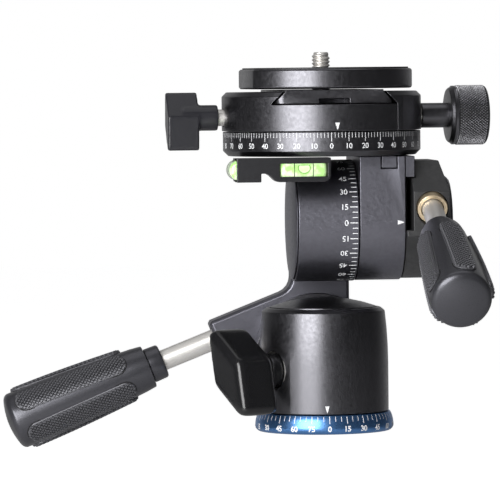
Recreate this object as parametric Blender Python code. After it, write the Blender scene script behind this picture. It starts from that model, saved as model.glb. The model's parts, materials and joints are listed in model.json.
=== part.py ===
"""Four-axis tripod head: pan base, side roll, front tilt and a panning clamp with its camera plate.

Metres, +Z up. The origin is the centre of the base's underside, where the tripod's stud enters.
+X is the side of the clamp knob, -Y is the front with the dials' index marks.
"""

import math

import bmesh
import bpy
from mathutils import Matrix, Vector

# Fits shared by every piece
GAP = 0.0003
OVERRUN = 0.002

# Counts of sides on turned pieces
BIG_ROUND = 48
MID_ROUND = 24
SMALL_ROUND = 14
ARC_STEPS = 4

# Base dial and spindle
BASE_HEIGHT = 0.0066
BASE_RADIUS = 0.0246
BASE_TOP_RADIUS = 0.0234
BASE_FOOT_RADIUS = 0.0232
BASE_BULGE_SHARES = (0.20, 0.42)
BASE_SLOPE_RADIUS = 0.0242
BASE_SLOPE_SHARE = 0.74
SPINDLE_FLANGE_RADIUS = 0.0160
SPINDLE_FLANGE_HEIGHT = 0.0050
SPINDLE_RADIUS = 0.0090
SOCKET_RADIUS = 0.0046
SOCKET_DEPTH = 0.0120
RETAINER_RADIUS = 0.0135
RETAINER_THICKNESS = 0.0020
RETAINER_SCREW_RADIUS = 0.0025
RETAINER_SCREW_LENGTH = 0.0090
RETAINER_HEAD_RADIUS = 0.0050
RETAINER_HEAD_HEIGHT = 0.0032

# Pan barrel
BARREL_RADIUS = 0.0229
BARREL_TOP_RADIUS = 0.0218
BARREL_RIM_RADIUS = 0.0202
BARREL_STRAIGHT_TOP = 0.0240
BARREL_TAPER_SHARES = ((0.33, 0.88), (0.67, 0.55))
BARREL_WALL_TOP = 0.0423
BARREL_RIM_TOP = 0.0436
BARREL_WEB_TOP = 0.0285
BARREL_MOUTH_RADIUS = 0.0190
BARREL_CAVITY_RADIUS = 0.0175
BARREL_LEDGE_DEPTH = 0.0031
BUSH_WALL = 0.0032
DOME_RISE = 0.0033
DOME_TOP = 0.0472

# Roll joint at the back of the barrel
ROLL_HEIGHT = 0.0245
BOSS_RADIUS = 0.0230
BOSS_FACE_RISE = 0.0003
BOSS_DISC_THICKNESS = 0.0026
BOSS_BODY_DEPTH = 0.0064
ROLL_AXLE_RADIUS = 0.0050
ROLL_NUT_RADIUS = 0.0085
ROLL_NUT_THICKNESS = 0.0032
WASHER_RADIUS = 0.0120
WASHER_THICKNESS = 0.0014

# Pan lock knob
PAN_KNOB_ANGLE = math.radians(60)
PAN_KNOB_HEIGHT = 0.0220
PAN_KNOB_TWIST = math.radians(12)
PAN_STEM_RADIUS = 0.0060
PAN_SEAT_RADIUS = 0.0070
PAN_SEAT_DISTANCE = 0.0185
PAN_WING_DISTANCE = 0.0296
PAN_WING_THICKNESS = 0.0128
PAN_WING_LENGTH = 0.0320
PAN_WING_WIDTH = 0.0164
WING_SHOULDER_SHARE = 0.10
WING_TIP_SHARE = 0.25
WING_EDGE_SHARE = 0.10
LOCK_SCREW_RADIUS = 0.0030
LOCK_PAD_LENGTH = 0.0032

# Roll yoke: plate, neck, handle arm and tilt housing
YOKE_THICKNESS = 0.0120
YOKE_HUB_RADIUS = 0.0170
NECK_LEFT = 0.0088
NECK_RIGHT = 0.0121
HOUSING_HALF_WIDTH = 0.0108
WEB_DROP = 0.0163
YOKE_EDGE = 0.0010
ARM_HALF_WIDTH = 0.0068
ARM_FILLET = 0.0060
ARM_END_X = -0.0363
ARM_END_Z = 0.0310
HANDLE_SLOPE = math.radians(21.5)

# Tilt joint
HOUSING_RADIUS = 0.0215
DOME_CLEARANCE = 0.0056
TILT_AXLE_RADIUS = 0.0060
TILT_AXLE_END = 0.0420
END_CAP_RADIUS = 0.0208
END_CAP_PLUG_RADIUS = 0.0170
END_CAP_PLUG_DEPTH = 0.0020
END_CAP_EDGE = 0.0006
END_CAP_BULGE = 0.0010
TILT_WASHER_RADIUS = 0.0150

# Tilt bracket and lock block
BRACKET_RADIUS = 0.0213
BRACKET_WIDTH = 0.0160
BRACKET_RISE = 0.0229
FLANGE_REACH = 0.0034
KEY_WIDTH = 0.0052
KEY_HEIGHT = 0.0040
KEY_DEPTH = 0.0015
KEY_CENTRE_X = 0.0215
BLOCK_WIDTH = 0.0152
BLOCK_NOSE_DROP = 0.0053
BLOCK_FACE_HEIGHT = 0.0157
BLOCK_SLANT_HEIGHT = 0.0107
BLOCK_FRONT_Y = -0.0240
BLOCK_TOP_FRONT_Y = -0.0130
BLOCK_TOP_BACK_Y = 0.0140
BLOCK_LOWER_RADIUS = 0.0208
BLOCK_ARC_START = math.radians(205)
BLOCK_CHAMFER = 0.0032
SLOT_WIDTH = 0.0022
SLOT_HEIGHT = 0.0186
SLOT_RISE = 0.0155
SLOT_BACK_Y = -0.0080
AXLE_CAP_RADIUS = 0.0153
AXLE_CAP_THICKNESS = 0.0019
HANDLE_BUSH_RADIUS = 0.0053
HANDLE_BUSH_DEPTH = 0.0060
HANDLE_BUSH_PROUD = 0.0006
TILT_HANDLE_X = 0.0362
TILT_HANDLE_RISE = 0.0044

# Handles
ROD_RADIUS = 0.0037
ROD_VISIBLE = 0.0202
ROD_SEAT_DEPTH = 0.0090
ROD_GRIP_DEPTH = 0.0140
COLLAR_RADIUS = 0.0062
COLLAR_LENGTH = 0.0055
GRIP_LENGTH = 0.0600
GRIP_START_RADIUS = 0.0080
GRIP_RADIUS = 0.0103
GRIP_EDGE = 0.0036
GRIP_SWELL_SHARES = (0.00, 0.33, 0.66, 1.00)
PAD_COUNT = 5
ROLL_PAD_ANGLE = math.radians(38)
TILT_PAD_ANGLE = math.radians(10)
PAD_START = 0.0130
PAD_END = 0.0550
PAD_WIDTH = 0.0076
PAD_THICKNESS = 0.0010
PAD_ROW_SHARES = (0.00, 0.02, 0.08, 0.36, 0.64, 0.92, 0.98, 1.00)
PAD_COLUMNS = 3

# Pan dial under the clamp
DIAL_RADIUS = 0.0350
DIAL_HEIGHT = 0.0085
DIAL_CHAMFER = 0.0018
TOP_SPINDLE_RADIUS = 0.0080
TOP_SPINDLE_HEIGHT = 0.0140
DIAL_PIN_RADIUS = 0.0015
DIAL_PIN_LENGTH = 0.0090
DIAL_PIN_SPACING = 0.0240
DIAL_PIN_DEPTH = 0.0055

# Spirit levels
LEVEL_DEPTH = 0.0084
LEVEL_FRONT_Y = -0.0320
LEVEL_THICKNESS = 0.0085
LEVEL_RIGHT_X = -0.0002
LEVEL_POD_LENGTH = 0.0190
LEVEL_POD_ROUND = 0.0024
LEVEL_FILLET = 0.0030
LEVEL_ARM_HEIGHT = 0.0054
LEVEL_SIDE_X = -0.0330
LEVEL_SIDE_SINK = 0.0012
LEVEL_SIDE_LENGTH = 0.0190
LEVEL_SIDE_WIDTH = 0.0085
VIAL_RADIUS = 0.0036
VIAL_LENGTH = 0.0160
VIAL_PROUD = 0.0004

# Clamp
CLAMP_PAN_REST = math.radians(3)
CLAMP_RADIUS = 0.0353
CLAMP_HEIGHT = 0.0137
CLAMP_CHAMFER = 0.0016
CHANNEL_HALF_WIDTH = 0.0224
CHANNEL_DEPTH = 0.0044
CLAMP_AXIS_HEIGHT = 0.0048
GUIDE_PIN_RADIUS = 0.0015
GUIDE_PIN_LENGTH = 0.0130
GUIDE_PIN_Y = 0.0180
GUIDE_PIN_START = 0.0150
TOP_SPINDLE_BORE_DEPTH = 0.0065

# Clamp knob
CLAMP_SCREW_RADIUS = 0.0030
CLAMP_SCREW_START = 0.0110
CLAMP_COLLAR_RADIUS = 0.0044
CLAMP_KNOB_START = 0.0453
CLAMP_KNOB_END = 0.0590
CLAMP_KNOB_RADIUS = 0.0107
CLAMP_KNOB_BEVEL = 0.0016
CLAMP_KNOB_RIM = 0.0004

# Top pan lock knob
TOP_KNOB_TWIST = math.radians(-4)
TOP_STEM_RADIUS = 0.0046
TOP_STEM_START = 0.0372
TOP_WING_START = 0.0442
TOP_WING_THICKNESS = 0.0110
TOP_WING_LENGTH = 0.0198
TOP_WING_WIDTH = 0.0100
TOP_WING_DROP = 0.0012
TOP_SCREW_INNER = 0.0123
TOP_PAD_INNER = 0.0086

# Camera plate
PLATE_RADIUS = 0.0322
PLATE_FLAT = 0.0270
PLATE_THICKNESS = 0.0070
PLATE_LIFT = 0.0010
PLATE_EDGE = 0.0006
FOOT_CLEARANCE = 0.0010
FOOT_LAND = 0.0007
FOOT_CORNER = 0.0030
FOOT_HALF_LENGTH = 0.0295
NOTCH_HALF_WIDTH = 0.0054
NOTCH_HEIGHT = 0.0017
NOTCH_DEPTH = 0.0100
MAT_INSET = 0.0013
MAT_THICKNESS = 0.0007
MAT_SINK = 0.0005
STUD_RADIUS = 0.00317
STUD_ROOT_RADIUS = 0.00255
STUD_PITCH = 0.00127
STUD_HEIGHT = 0.0054
STUD_HEAD_RADIUS = 0.0070
STUD_HEAD_HEIGHT = 0.0024
STUD_TURNS = 3

# Colours as red, green, blue, roughness, metallic
BLACK_ANODISED = (0.030, 0.030, 0.034, 0.42, 0.6)
VIOLET_BLACK = (0.055, 0.055, 0.068, 0.45, 0.5)
BLUE_ANODISED = (0.030, 0.130, 0.420, 0.30, 0.8)
STEEL = (0.62, 0.61, 0.59, 0.28, 1.0)
BRASS = (0.72, 0.52, 0.28, 0.32, 1.0)
BLACK_PLASTIC = (0.018, 0.018, 0.020, 0.40, 0.0)
RUBBER = (0.050, 0.050, 0.054, 0.75, 0.0)
VIAL_GREEN = (0.55, 0.90, 0.30, 0.15, 0.0)
NYLON = (0.75, 0.74, 0.70, 0.55, 0.0)

# Heights and places that follow from the sizes above
BARREL_BOTTOM = BASE_HEIGHT + GAP
SPINDLE_TOP = BARREL_WEB_TOP
RETAINER_BOTTOM = SPINDLE_TOP + GAP
HEAD_BOTTOM = RETAINER_BOTTOM + RETAINER_THICKNESS + GAP
BUSH_RADIUS = SPINDLE_RADIUS + GAP + BUSH_WALL
BOSS_FACE_Y = BARREL_RADIUS + BOSS_FACE_RISE
BOSS_SKIRT_Y = BOSS_FACE_Y - BOSS_DISC_THICKNESS
BOSS_INNER_Y = BOSS_SKIRT_Y - BOSS_BODY_DEPTH
YOKE_FRONT_Y = BOSS_FACE_Y + GAP
YOKE_BACK_Y = YOKE_FRONT_Y + YOKE_THICKNESS
YOKE_MIDDLE_Y = YOKE_FRONT_Y + YOKE_THICKNESS / 2
TILT_HEIGHT = DOME_TOP + DOME_CLEARANCE + HOUSING_RADIUS
BRACKET_START = HOUSING_HALF_WIDTH + GAP
BRACKET_END = BRACKET_START + BRACKET_WIDTH
BRACKET_TOP = TILT_HEIGHT + BRACKET_RISE
BLOCK_START = BRACKET_END + GAP
BLOCK_END = BLOCK_START + BLOCK_WIDTH
BLOCK_NOSE = TILT_HEIGHT - BLOCK_NOSE_DROP
BLOCK_SHOULDER = BLOCK_NOSE + BLOCK_FACE_HEIGHT
BLOCK_TOP = BLOCK_SHOULDER + BLOCK_SLANT_HEIGHT
SLOT_TOP = TILT_HEIGHT + SLOT_RISE
SLOT_BOTTOM = SLOT_TOP - SLOT_HEIGHT
TILT_HANDLE_Z = TILT_HEIGHT + TILT_HANDLE_RISE
DIAL_BOTTOM = BRACKET_TOP + GAP
CLAMP_BOTTOM = DIAL_BOTTOM + DIAL_HEIGHT + GAP
CLAMP_TOP = CLAMP_BOTTOM + CLAMP_HEIGHT
CHANNEL_FLOOR = CLAMP_TOP - CHANNEL_DEPTH
CLAMP_AXIS_Z = CLAMP_BOTTOM + CLAMP_AXIS_HEIGHT
LEVEL_TOP = DIAL_BOTTOM - GAP
LEVEL_BOTTOM = LEVEL_TOP - LEVEL_DEPTH
LEVEL_AXIS_Z = LEVEL_BOTTOM + LEVEL_DEPTH / 2
FOOT_BOTTOM = CHANNEL_FLOOR + GAP
FOOT_HALF_WIDTH = CHANNEL_HALF_WIDTH - FOOT_CLEARANCE - FOOT_LAND
PLATE_BOTTOM = CLAMP_TOP + PLATE_LIFT
PLATE_TOP = PLATE_BOTTOM + PLATE_THICKNESS

X_AXIS = Vector((1, 0, 0))
Y_AXIS = Vector((0, 1, 0))
Z_AXIS = Vector((0, 0, 1))
SIDES = {-1: "front", 1: "back"}


def clear_scene():
    for obj in list(bpy.data.objects):
        bpy.data.objects.remove(obj, do_unlink=True)


def material(name, finish):
    """A plain finish from red, green, blue, roughness and metallic."""
    red, green, blue, roughness, metallic = finish
    made = bpy.data.materials.new(name)
    made.use_nodes = True
    shader = made.node_tree.nodes["Principled BSDF"]
    shader.inputs["Base Color"].default_value = (red, green, blue, 1)
    shader.inputs["Roughness"].default_value = roughness
    shader.inputs["Metallic"].default_value = metallic
    made.diffuse_color = (red, green, blue, 1)
    return made


def along(direction, place=(0, 0, 0), spin=0.0):
    """A frame at a place whose Z runs along a direction, with X kept level and turned by spin."""
    z = Vector(direction).normalized()
    helper = Y_AXIS if abs(z.z) > abs(z.y) and abs(z.z) > abs(z.x) else Z_AXIS
    x = helper.cross(z).normalized()
    y = z.cross(x)
    turn = Matrix((x, y, z)).transposed().to_4x4()
    return Matrix.Translation(place) @ turn @ Matrix.Rotation(spin, 4, "Z")


def axis_empty(name, frame, parent=None):
    """The empty that a moving body hangs on, with its origin on the joint's axis."""
    empty = bpy.data.objects.new(name, None)
    bpy.context.scene.collection.objects.link(empty)
    attach(empty, frame, parent)
    return empty


def attach(obj, frame, parent):
    """Places an object by a world frame, also when it has a parent."""
    if parent is None:
        obj.matrix_world = frame
        return
    bpy.context.view_layer.update()
    obj.parent = parent
    obj.matrix_parent_inverse = parent.matrix_world.inverted()
    obj.matrix_basis = frame
    bpy.context.view_layer.update()


def add(name, mesh_builder, frame=None, parent=None, finish=None):
    """One named object from a function that fills a bmesh."""
    work = bmesh.new()
    mesh_builder(work)
    bmesh.ops.remove_doubles(work, verts=work.verts, dist=GAP / 100)
    bmesh.ops.recalc_face_normals(work, faces=work.faces)
    mesh = bpy.data.meshes.new(name)
    work.to_mesh(mesh)
    work.free()
    mesh.shade_smooth()
    mesh.set_sharp_from_angle(angle=math.radians(35))
    obj = bpy.data.objects.new(name, mesh)
    bpy.context.scene.collection.objects.link(obj)
    attach(obj, frame or Matrix.Identity(4), parent)
    if finish:
        mesh.materials.append(material(name + "_finish", finish))
    return obj


def tool(name, mesh_builder, frame=None, parent=None):
    """A hidden solid that cuts another or is joined to it."""
    obj = add(name, mesh_builder, frame, parent)
    obj.hide_render = True
    obj.display_type = "WIRE"
    return obj


def combine(target, operation, pieces):
    """Boolean steps on a target, in order."""
    for piece in pieces:
        step = target.modifiers.new(piece.name, "BOOLEAN")
        step.operation = operation
        step.solver = "EXACT"
        step.object = piece


def turned(profile, sides, ring=False):
    """A solid turned about local Z. A ring's profile is a closed loop; a solid's starts and ends on Z."""

    def build(work):
        circles = [
            [
                work.verts.new((
                    radius * math.cos(math.tau * k / sides), radius * math.sin(math.tau * k / sides), height,
                ))
                for k in range(sides)
            ]
            for radius, height in profile if radius > 0
        ]
        pairs = list(zip(circles, circles[1:]))
        if ring:
            pairs.append((circles[-1], circles[0]))
        for low, high in pairs:
            for k in range(sides):
                following = (k + 1) % sides
                work.faces.new((low[k], low[following], high[following], high[k]))
        if ring:
            return
        for circle, (_, height) in ((circles[0], profile[0]), (circles[-1], profile[-1])):
            if abs(circle[0].co.z - height) < GAP / 100:
                work.faces.new(circle)
                continue
            tip = work.verts.new((0, 0, height))
            for k in range(sides):
                work.faces.new((circle[k], circle[(k + 1) % sides], tip))

    return build


def cylinder(radius, start, end, sides):
    return turned([(0, start), (radius, start), (radius, end), (0, end)], sides)


def tube(inner, outer, start, end, sides):
    return turned([(inner, start), (outer, start), (outer, end), (inner, end)], sides, ring=True)


def box(low, high):
    """A box between two corners."""

    def build(work):
        made = bmesh.ops.create_cube(work, size=1)
        centre = (Vector(low) + Vector(high)) / 2
        size = Vector(high) - Vector(low)
        for vert in made["verts"]:
            vert.co = Vector(a * b for a, b in zip(vert.co, size)) + centre

    return build


def prism(outline, start, end, plane="XZ"):
    """An outline carried from start to end across its plane."""

    def build(work):
        spots = {
            "XZ": lambda u, v, w: (u, w, v),
            "YZ": lambda u, v, w: (w, u, v),
            "XY": lambda u, v, w: (u, v, w),
        }[plane]
        near = [work.verts.new(spots(u, v, start)) for u, v in outline]
        far = [work.verts.new(spots(u, v, end)) for u, v in outline]
        work.faces.new(near)
        work.faces.new(far)
        for k in range(len(outline)):
            following = (k + 1) % len(outline)
            work.faces.new((near[k], near[following], far[following], far[k]))

    return build


def arc(centre, radius, start, end, steps):
    """Points of an arc, angles in radians, both ends included."""
    return [
        (
            centre[0] + radius * math.cos(start + (end - start) * k / steps),
            centre[1] + radius * math.sin(start + (end - start) * k / steps),
        )
        for k in range(steps + 1)
    ]


def rounded(before, corner, after, radius, steps):
    """The points that round one corner of an outline."""
    a = (Vector(before) - Vector(corner)).normalized()
    b = (Vector(after) - Vector(corner)).normalized()
    half = a.angle(b) / 2
    reach = radius / math.tan(half)
    start = Vector(corner) + a * reach
    end = Vector(corner) + b * reach
    centre = Vector(corner) + (a + b).normalized() * (radius / math.sin(half))
    first = start - centre
    last = end - centre
    sweep = first.angle_signed(last)
    return [
        tuple(centre + Matrix.Rotation(-sweep * k / steps, 2) @ first)
        for k in range(steps + 1)
    ]


def rounded_outline(corners, radius, steps=3):
    """An outline with every corner rounded alike."""
    points = []
    for k, corner in enumerate(corners):
        before = corners[k - 1]
        after = corners[(k + 1) % len(corners)]
        points += rounded(before, corner, after, radius, steps)
    return points


def clipped_circle(radius, height, floor, ceiling):
    """A circle about a height, cut level at a floor and a ceiling where it passes them."""
    points = []
    for u, v in arc((0, height), radius, 0, math.tau, BIG_ROUND)[:-1]:
        if floor < v < ceiling:
            points.append((u, v))
    for level in (floor, ceiling):
        reach = radius ** 2 - (level - height) ** 2
        if reach > 0:
            points += [(math.sqrt(reach), level), (-math.sqrt(reach), level)]
    return sorted(points, key=lambda p: math.atan2(p[1] - height, p[0]))


# Base: graduated dial, spindle and its retainer


def make_base():
    low_share, high_share = BASE_BULGE_SHARES
    bore = SPINDLE_FLANGE_RADIUS + GAP
    add("base_dial_ring", turned([
        (bore, 0),
        (BASE_FOOT_RADIUS, 0),
        (BASE_RADIUS, BASE_HEIGHT * low_share),
        (BASE_RADIUS, BASE_HEIGHT * high_share),
        (BASE_SLOPE_RADIUS, BASE_HEIGHT * BASE_SLOPE_SHARE),
        (BASE_TOP_RADIUS, BASE_HEIGHT),
        (bore, BASE_HEIGHT),
    ], BIG_ROUND, ring=True), finish=BLUE_ANODISED)
    screw_bore = RETAINER_SCREW_RADIUS + GAP
    screw_end = HEAD_BOTTOM - RETAINER_SCREW_LENGTH
    add("pan_spindle", turned([
        (0, SOCKET_DEPTH),
        (SOCKET_RADIUS, SOCKET_DEPTH),
        (SOCKET_RADIUS, 0),
        (SPINDLE_FLANGE_RADIUS, 0),
        (SPINDLE_FLANGE_RADIUS, SPINDLE_FLANGE_HEIGHT),
        (SPINDLE_RADIUS, SPINDLE_FLANGE_HEIGHT),
        (SPINDLE_RADIUS, SPINDLE_TOP),
        (screw_bore, SPINDLE_TOP),
        (screw_bore, screw_end - GAP),
        (0, screw_end - GAP),
    ], MID_ROUND), finish=STEEL)
    add("spindle_retainer", tube(
        screw_bore, RETAINER_RADIUS, RETAINER_BOTTOM, RETAINER_BOTTOM + RETAINER_THICKNESS, MID_ROUND,
    ), finish=STEEL)
    add("retainer_screw", turned([
        (0, screw_end),
        (RETAINER_SCREW_RADIUS, screw_end),
        (RETAINER_SCREW_RADIUS, HEAD_BOTTOM),
        (RETAINER_HEAD_RADIUS, HEAD_BOTTOM),
        (RETAINER_HEAD_RADIUS, HEAD_BOTTOM + RETAINER_HEAD_HEIGHT),
        (0, HEAD_BOTTOM + RETAINER_HEAD_HEIGHT),
    ], SMALL_ROUND), finish=STEEL)


# Barrel, its dome and what runs in it


def pan_knob_frame():
    direction = (-math.sin(PAN_KNOB_ANGLE), -math.cos(PAN_KNOB_ANGLE), 0)
    return along(direction, (0, 0, PAN_KNOB_HEIGHT))


def make_barrel(pan):
    bore = BUSH_RADIUS + GAP
    taper_height = BARREL_WALL_TOP - BARREL_STRAIGHT_TOP
    taper = BARREL_RADIUS - BARREL_TOP_RADIUS
    barrel = add("pan_barrel", turned([
        (bore, BARREL_BOTTOM),
        (BARREL_RADIUS, BARREL_BOTTOM),
        (BARREL_RADIUS, BARREL_STRAIGHT_TOP),
        *(
            (BARREL_TOP_RADIUS + taper * wide, BARREL_STRAIGHT_TOP + taper_height * high)
            for high, wide in BARREL_TAPER_SHARES
        ),
        (BARREL_TOP_RADIUS, BARREL_WALL_TOP),
        (BARREL_RIM_RADIUS, BARREL_RIM_TOP),
        (BARREL_MOUTH_RADIUS, BARREL_RIM_TOP),
        (BARREL_MOUTH_RADIUS, BARREL_RIM_TOP - BARREL_LEDGE_DEPTH),
        (BARREL_CAVITY_RADIUS, BARREL_RIM_TOP - BARREL_LEDGE_DEPTH),
        (BARREL_CAVITY_RADIUS, BARREL_WEB_TOP),
        (bore, BARREL_WEB_TOP),
    ], BIG_ROUND, ring=True), parent=pan, finish=BLACK_ANODISED)
    wall_top = BARREL_RIM_TOP - BARREL_LEDGE_DEPTH - GAP
    boss = clipped_circle(BOSS_RADIUS, ROLL_HEIGHT, BARREL_BOTTOM, wall_top)
    disc = clipped_circle(BOSS_RADIUS, ROLL_HEIGHT, BARREL_BOTTOM, ROLL_HEIGHT + 2 * BOSS_RADIUS)
    combine(barrel, "UNION", [
        tool("boss_body", prism(boss, BOSS_INNER_Y, BOSS_SKIRT_Y + GAP), parent=pan),
        tool("boss_disc", prism(disc, BOSS_SKIRT_Y, BOSS_FACE_Y), parent=pan),
    ])
    axle_start = bore + GAP * 3
    knob = pan_knob_frame()
    combine(barrel, "DIFFERENCE", [
        tool("axle_bore", cylinder(
            ROLL_AXLE_RADIUS + GAP, axle_start, BOSS_FACE_Y + OVERRUN, SMALL_ROUND,
        ), along(Y_AXIS, (0, 0, ROLL_HEIGHT)), pan),
        tool("lock_seat", cylinder(
            PAN_SEAT_RADIUS, PAN_SEAT_DISTANCE, BARREL_RADIUS + OVERRUN, SMALL_ROUND,
        ), knob, pan),
        tool("lock_bore", cylinder(
            LOCK_SCREW_RADIUS + GAP, BUSH_RADIUS - GAP, PAN_SEAT_DISTANCE + OVERRUN, SMALL_ROUND,
        ), knob, pan),
    ])
    make_dome(pan)
    add("pan_bush", tube(
        SPINDLE_RADIUS + GAP, BUSH_RADIUS, BARREL_BOTTOM, BARREL_WEB_TOP - GAP, MID_ROUND,
    ), parent=pan, finish=BRASS)
    pad_start = BUSH_RADIUS + GAP
    add("pan_lock_pad", cylinder(
        LOCK_SCREW_RADIUS, pad_start, pad_start + LOCK_PAD_LENGTH, SMALL_ROUND,
    ), knob, pan, NYLON)
    add("roll_axle", cylinder(
        ROLL_AXLE_RADIUS, axle_start + GAP, YOKE_BACK_Y + ROLL_NUT_THICKNESS + GAP, SMALL_ROUND,
    ), along(Y_AXIS, (0, 0, ROLL_HEIGHT)), pan, STEEL)
    roll_line = along(Y_AXIS, (0, 0, ROLL_HEIGHT))
    nut = add("roll_axle_nut", cylinder(
        ROLL_NUT_RADIUS, YOKE_BACK_Y + GAP, YOKE_BACK_Y + ROLL_NUT_THICKNESS, 6,
    ), roll_line, pan, STEEL)
    combine(nut, "DIFFERENCE", [
        tool("nut_bore", cylinder(
            ROLL_AXLE_RADIUS + GAP, YOKE_BACK_Y, YOKE_BACK_Y + OVERRUN * 2, SMALL_ROUND,
        ), roll_line, pan),
    ])


def make_dome(pan):
    edge = BARREL_MOUTH_RADIUS - GAP
    ball = (edge ** 2 + DOME_RISE ** 2) / (2 * DOME_RISE)
    sweep = math.asin(edge / ball)
    floor = BARREL_RIM_TOP - BARREL_LEDGE_DEPTH + GAP
    profile = [(0, floor), (edge, floor)]
    for k in range(ARC_STEPS, -1, -1):
        angle = sweep * k / ARC_STEPS
        profile.append((ball * math.sin(angle), DOME_TOP - ball + ball * math.cos(angle)))
    add("barrel_dome", turned(profile, BIG_ROUND), parent=pan, finish=BLACK_ANODISED)


def wing_outline(length, width):
    """A leaning S of two blades: one down the +X side, the other up the -X side."""
    side = width / 2
    end = length / 2
    shoulder = length * WING_SHOULDER_SHARE
    tip = width * WING_TIP_SHARE
    return rounded_outline([
        (side, shoulder),
        (side, -end),
        (side - tip, -end),
        (-side, -shoulder),
        (-side, end),
        (tip - side, end),
    ], tip / 3)


def bevel(obj, width, steps=2):
    step = obj.modifiers.new("edges", "BEVEL")
    step.width = width
    step.segments = steps
    step.limit_method = "ANGLE"


def make_wing_knob(names, frame, parent, stem, wing, screw, twist):
    """A lock knob with a paddle wing, its stem and the steel screw in it."""
    knob_name, screw_name = names
    stem_radius, stem_start = stem
    wing_start, wing_thickness, wing_length, wing_width, drop = wing
    screw_start, screw_end = screw
    turned_frame = frame @ Matrix.Rotation(twist, 4, "Z") @ Matrix.Translation(-Y_AXIS * drop)
    knob = add(knob_name, prism(
        wing_outline(wing_length, wing_width), wing_start, wing_start + wing_thickness, "XY",
    ), turned_frame, parent, BLACK_PLASTIC)
    bevel(knob, wing_width * WING_EDGE_SHARE)
    combine(knob, "UNION", [
        tool(knob_name + "_stem", cylinder(
            stem_radius, stem_start, wing_start + wing_thickness / 2, SMALL_ROUND,
        ), frame, parent),
    ])
    combine(knob, "DIFFERENCE", [
        tool(knob_name + "_bore", cylinder(
            LOCK_SCREW_RADIUS + GAP, stem_start - OVERRUN, screw_end + GAP, SMALL_ROUND,
        ), frame, parent),
    ])
    add(screw_name, cylinder(
        LOCK_SCREW_RADIUS, screw_start, screw_end, SMALL_ROUND,
    ), frame, parent, STEEL)


def make_pan_knob(pan):
    frame = pan_knob_frame()
    hub = axis_empty("pan_knob_axis", frame, pan)
    screw_start = BUSH_RADIUS + LOCK_PAD_LENGTH + GAP * 2
    make_wing_knob(
        ("pan_lock_knob", "pan_lock_screw"), frame, hub,
        (PAN_STEM_RADIUS, PAN_SEAT_DISTANCE + GAP),
        (PAN_WING_DISTANCE, PAN_WING_THICKNESS, PAN_WING_LENGTH, PAN_WING_WIDTH, 0),
        (screw_start, PAN_WING_DISTANCE),
        PAN_KNOB_TWIST,
    )


# Roll yoke with the tilt housing, and its handle


def arm_directions():
    outward = Vector((-math.cos(HANDLE_SLOPE), -math.sin(HANDLE_SLOPE)))
    upward = Vector((-math.sin(HANDLE_SLOPE), math.cos(HANDLE_SLOPE)))
    return outward, upward


def yoke_outline():
    """Hub, handle arm and neck as one plate outline in X and Z, from the neck's top right, clockwise."""
    hub = Vector((0, ROLL_HEIGHT))
    outward, upward = arm_directions()
    end = Vector((ARM_END_X, ARM_END_Z))
    offset = (end - hub).dot(upward) - ARM_HALF_WIDTH
    reach = math.sqrt(YOKE_HUB_RADIUS ** 2 - offset ** 2)
    leave = upward * offset + outward * reach
    neck_angle = math.acos(NECK_RIGHT / YOKE_HUB_RADIUS)
    leave_angle = math.atan2(leave.y, leave.x) - math.tau
    top_edge = end + upward * ARM_HALF_WIDTH
    rise = (top_edge.x + NECK_LEFT) / outward.x
    corner = top_edge - outward * rise
    beside_bracket = HOUSING_HALF_WIDTH - GAP
    points = [
        (beside_bracket, TILT_HEIGHT),
        (beside_bracket, TILT_HEIGHT - HOUSING_RADIUS / 2),
        (NECK_RIGHT, TILT_HEIGHT - HOUSING_RADIUS),
    ]
    points += arc(hub, YOKE_HUB_RADIUS, neck_angle, leave_angle, BIG_ROUND // 2)
    points += [tuple(end - upward * ARM_HALF_WIDTH), tuple(top_edge)]
    points += rounded(top_edge, corner, (-NECK_LEFT, TILT_HEIGHT), ARM_FILLET, ARC_STEPS)
    points.append((-NECK_LEFT, TILT_HEIGHT))
    return points


def roll_handle_frame():
    outward, _ = arm_directions()
    return along((outward.x, 0, outward.y), (ARM_END_X, YOKE_MIDDLE_Y, ARM_END_Z))


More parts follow.
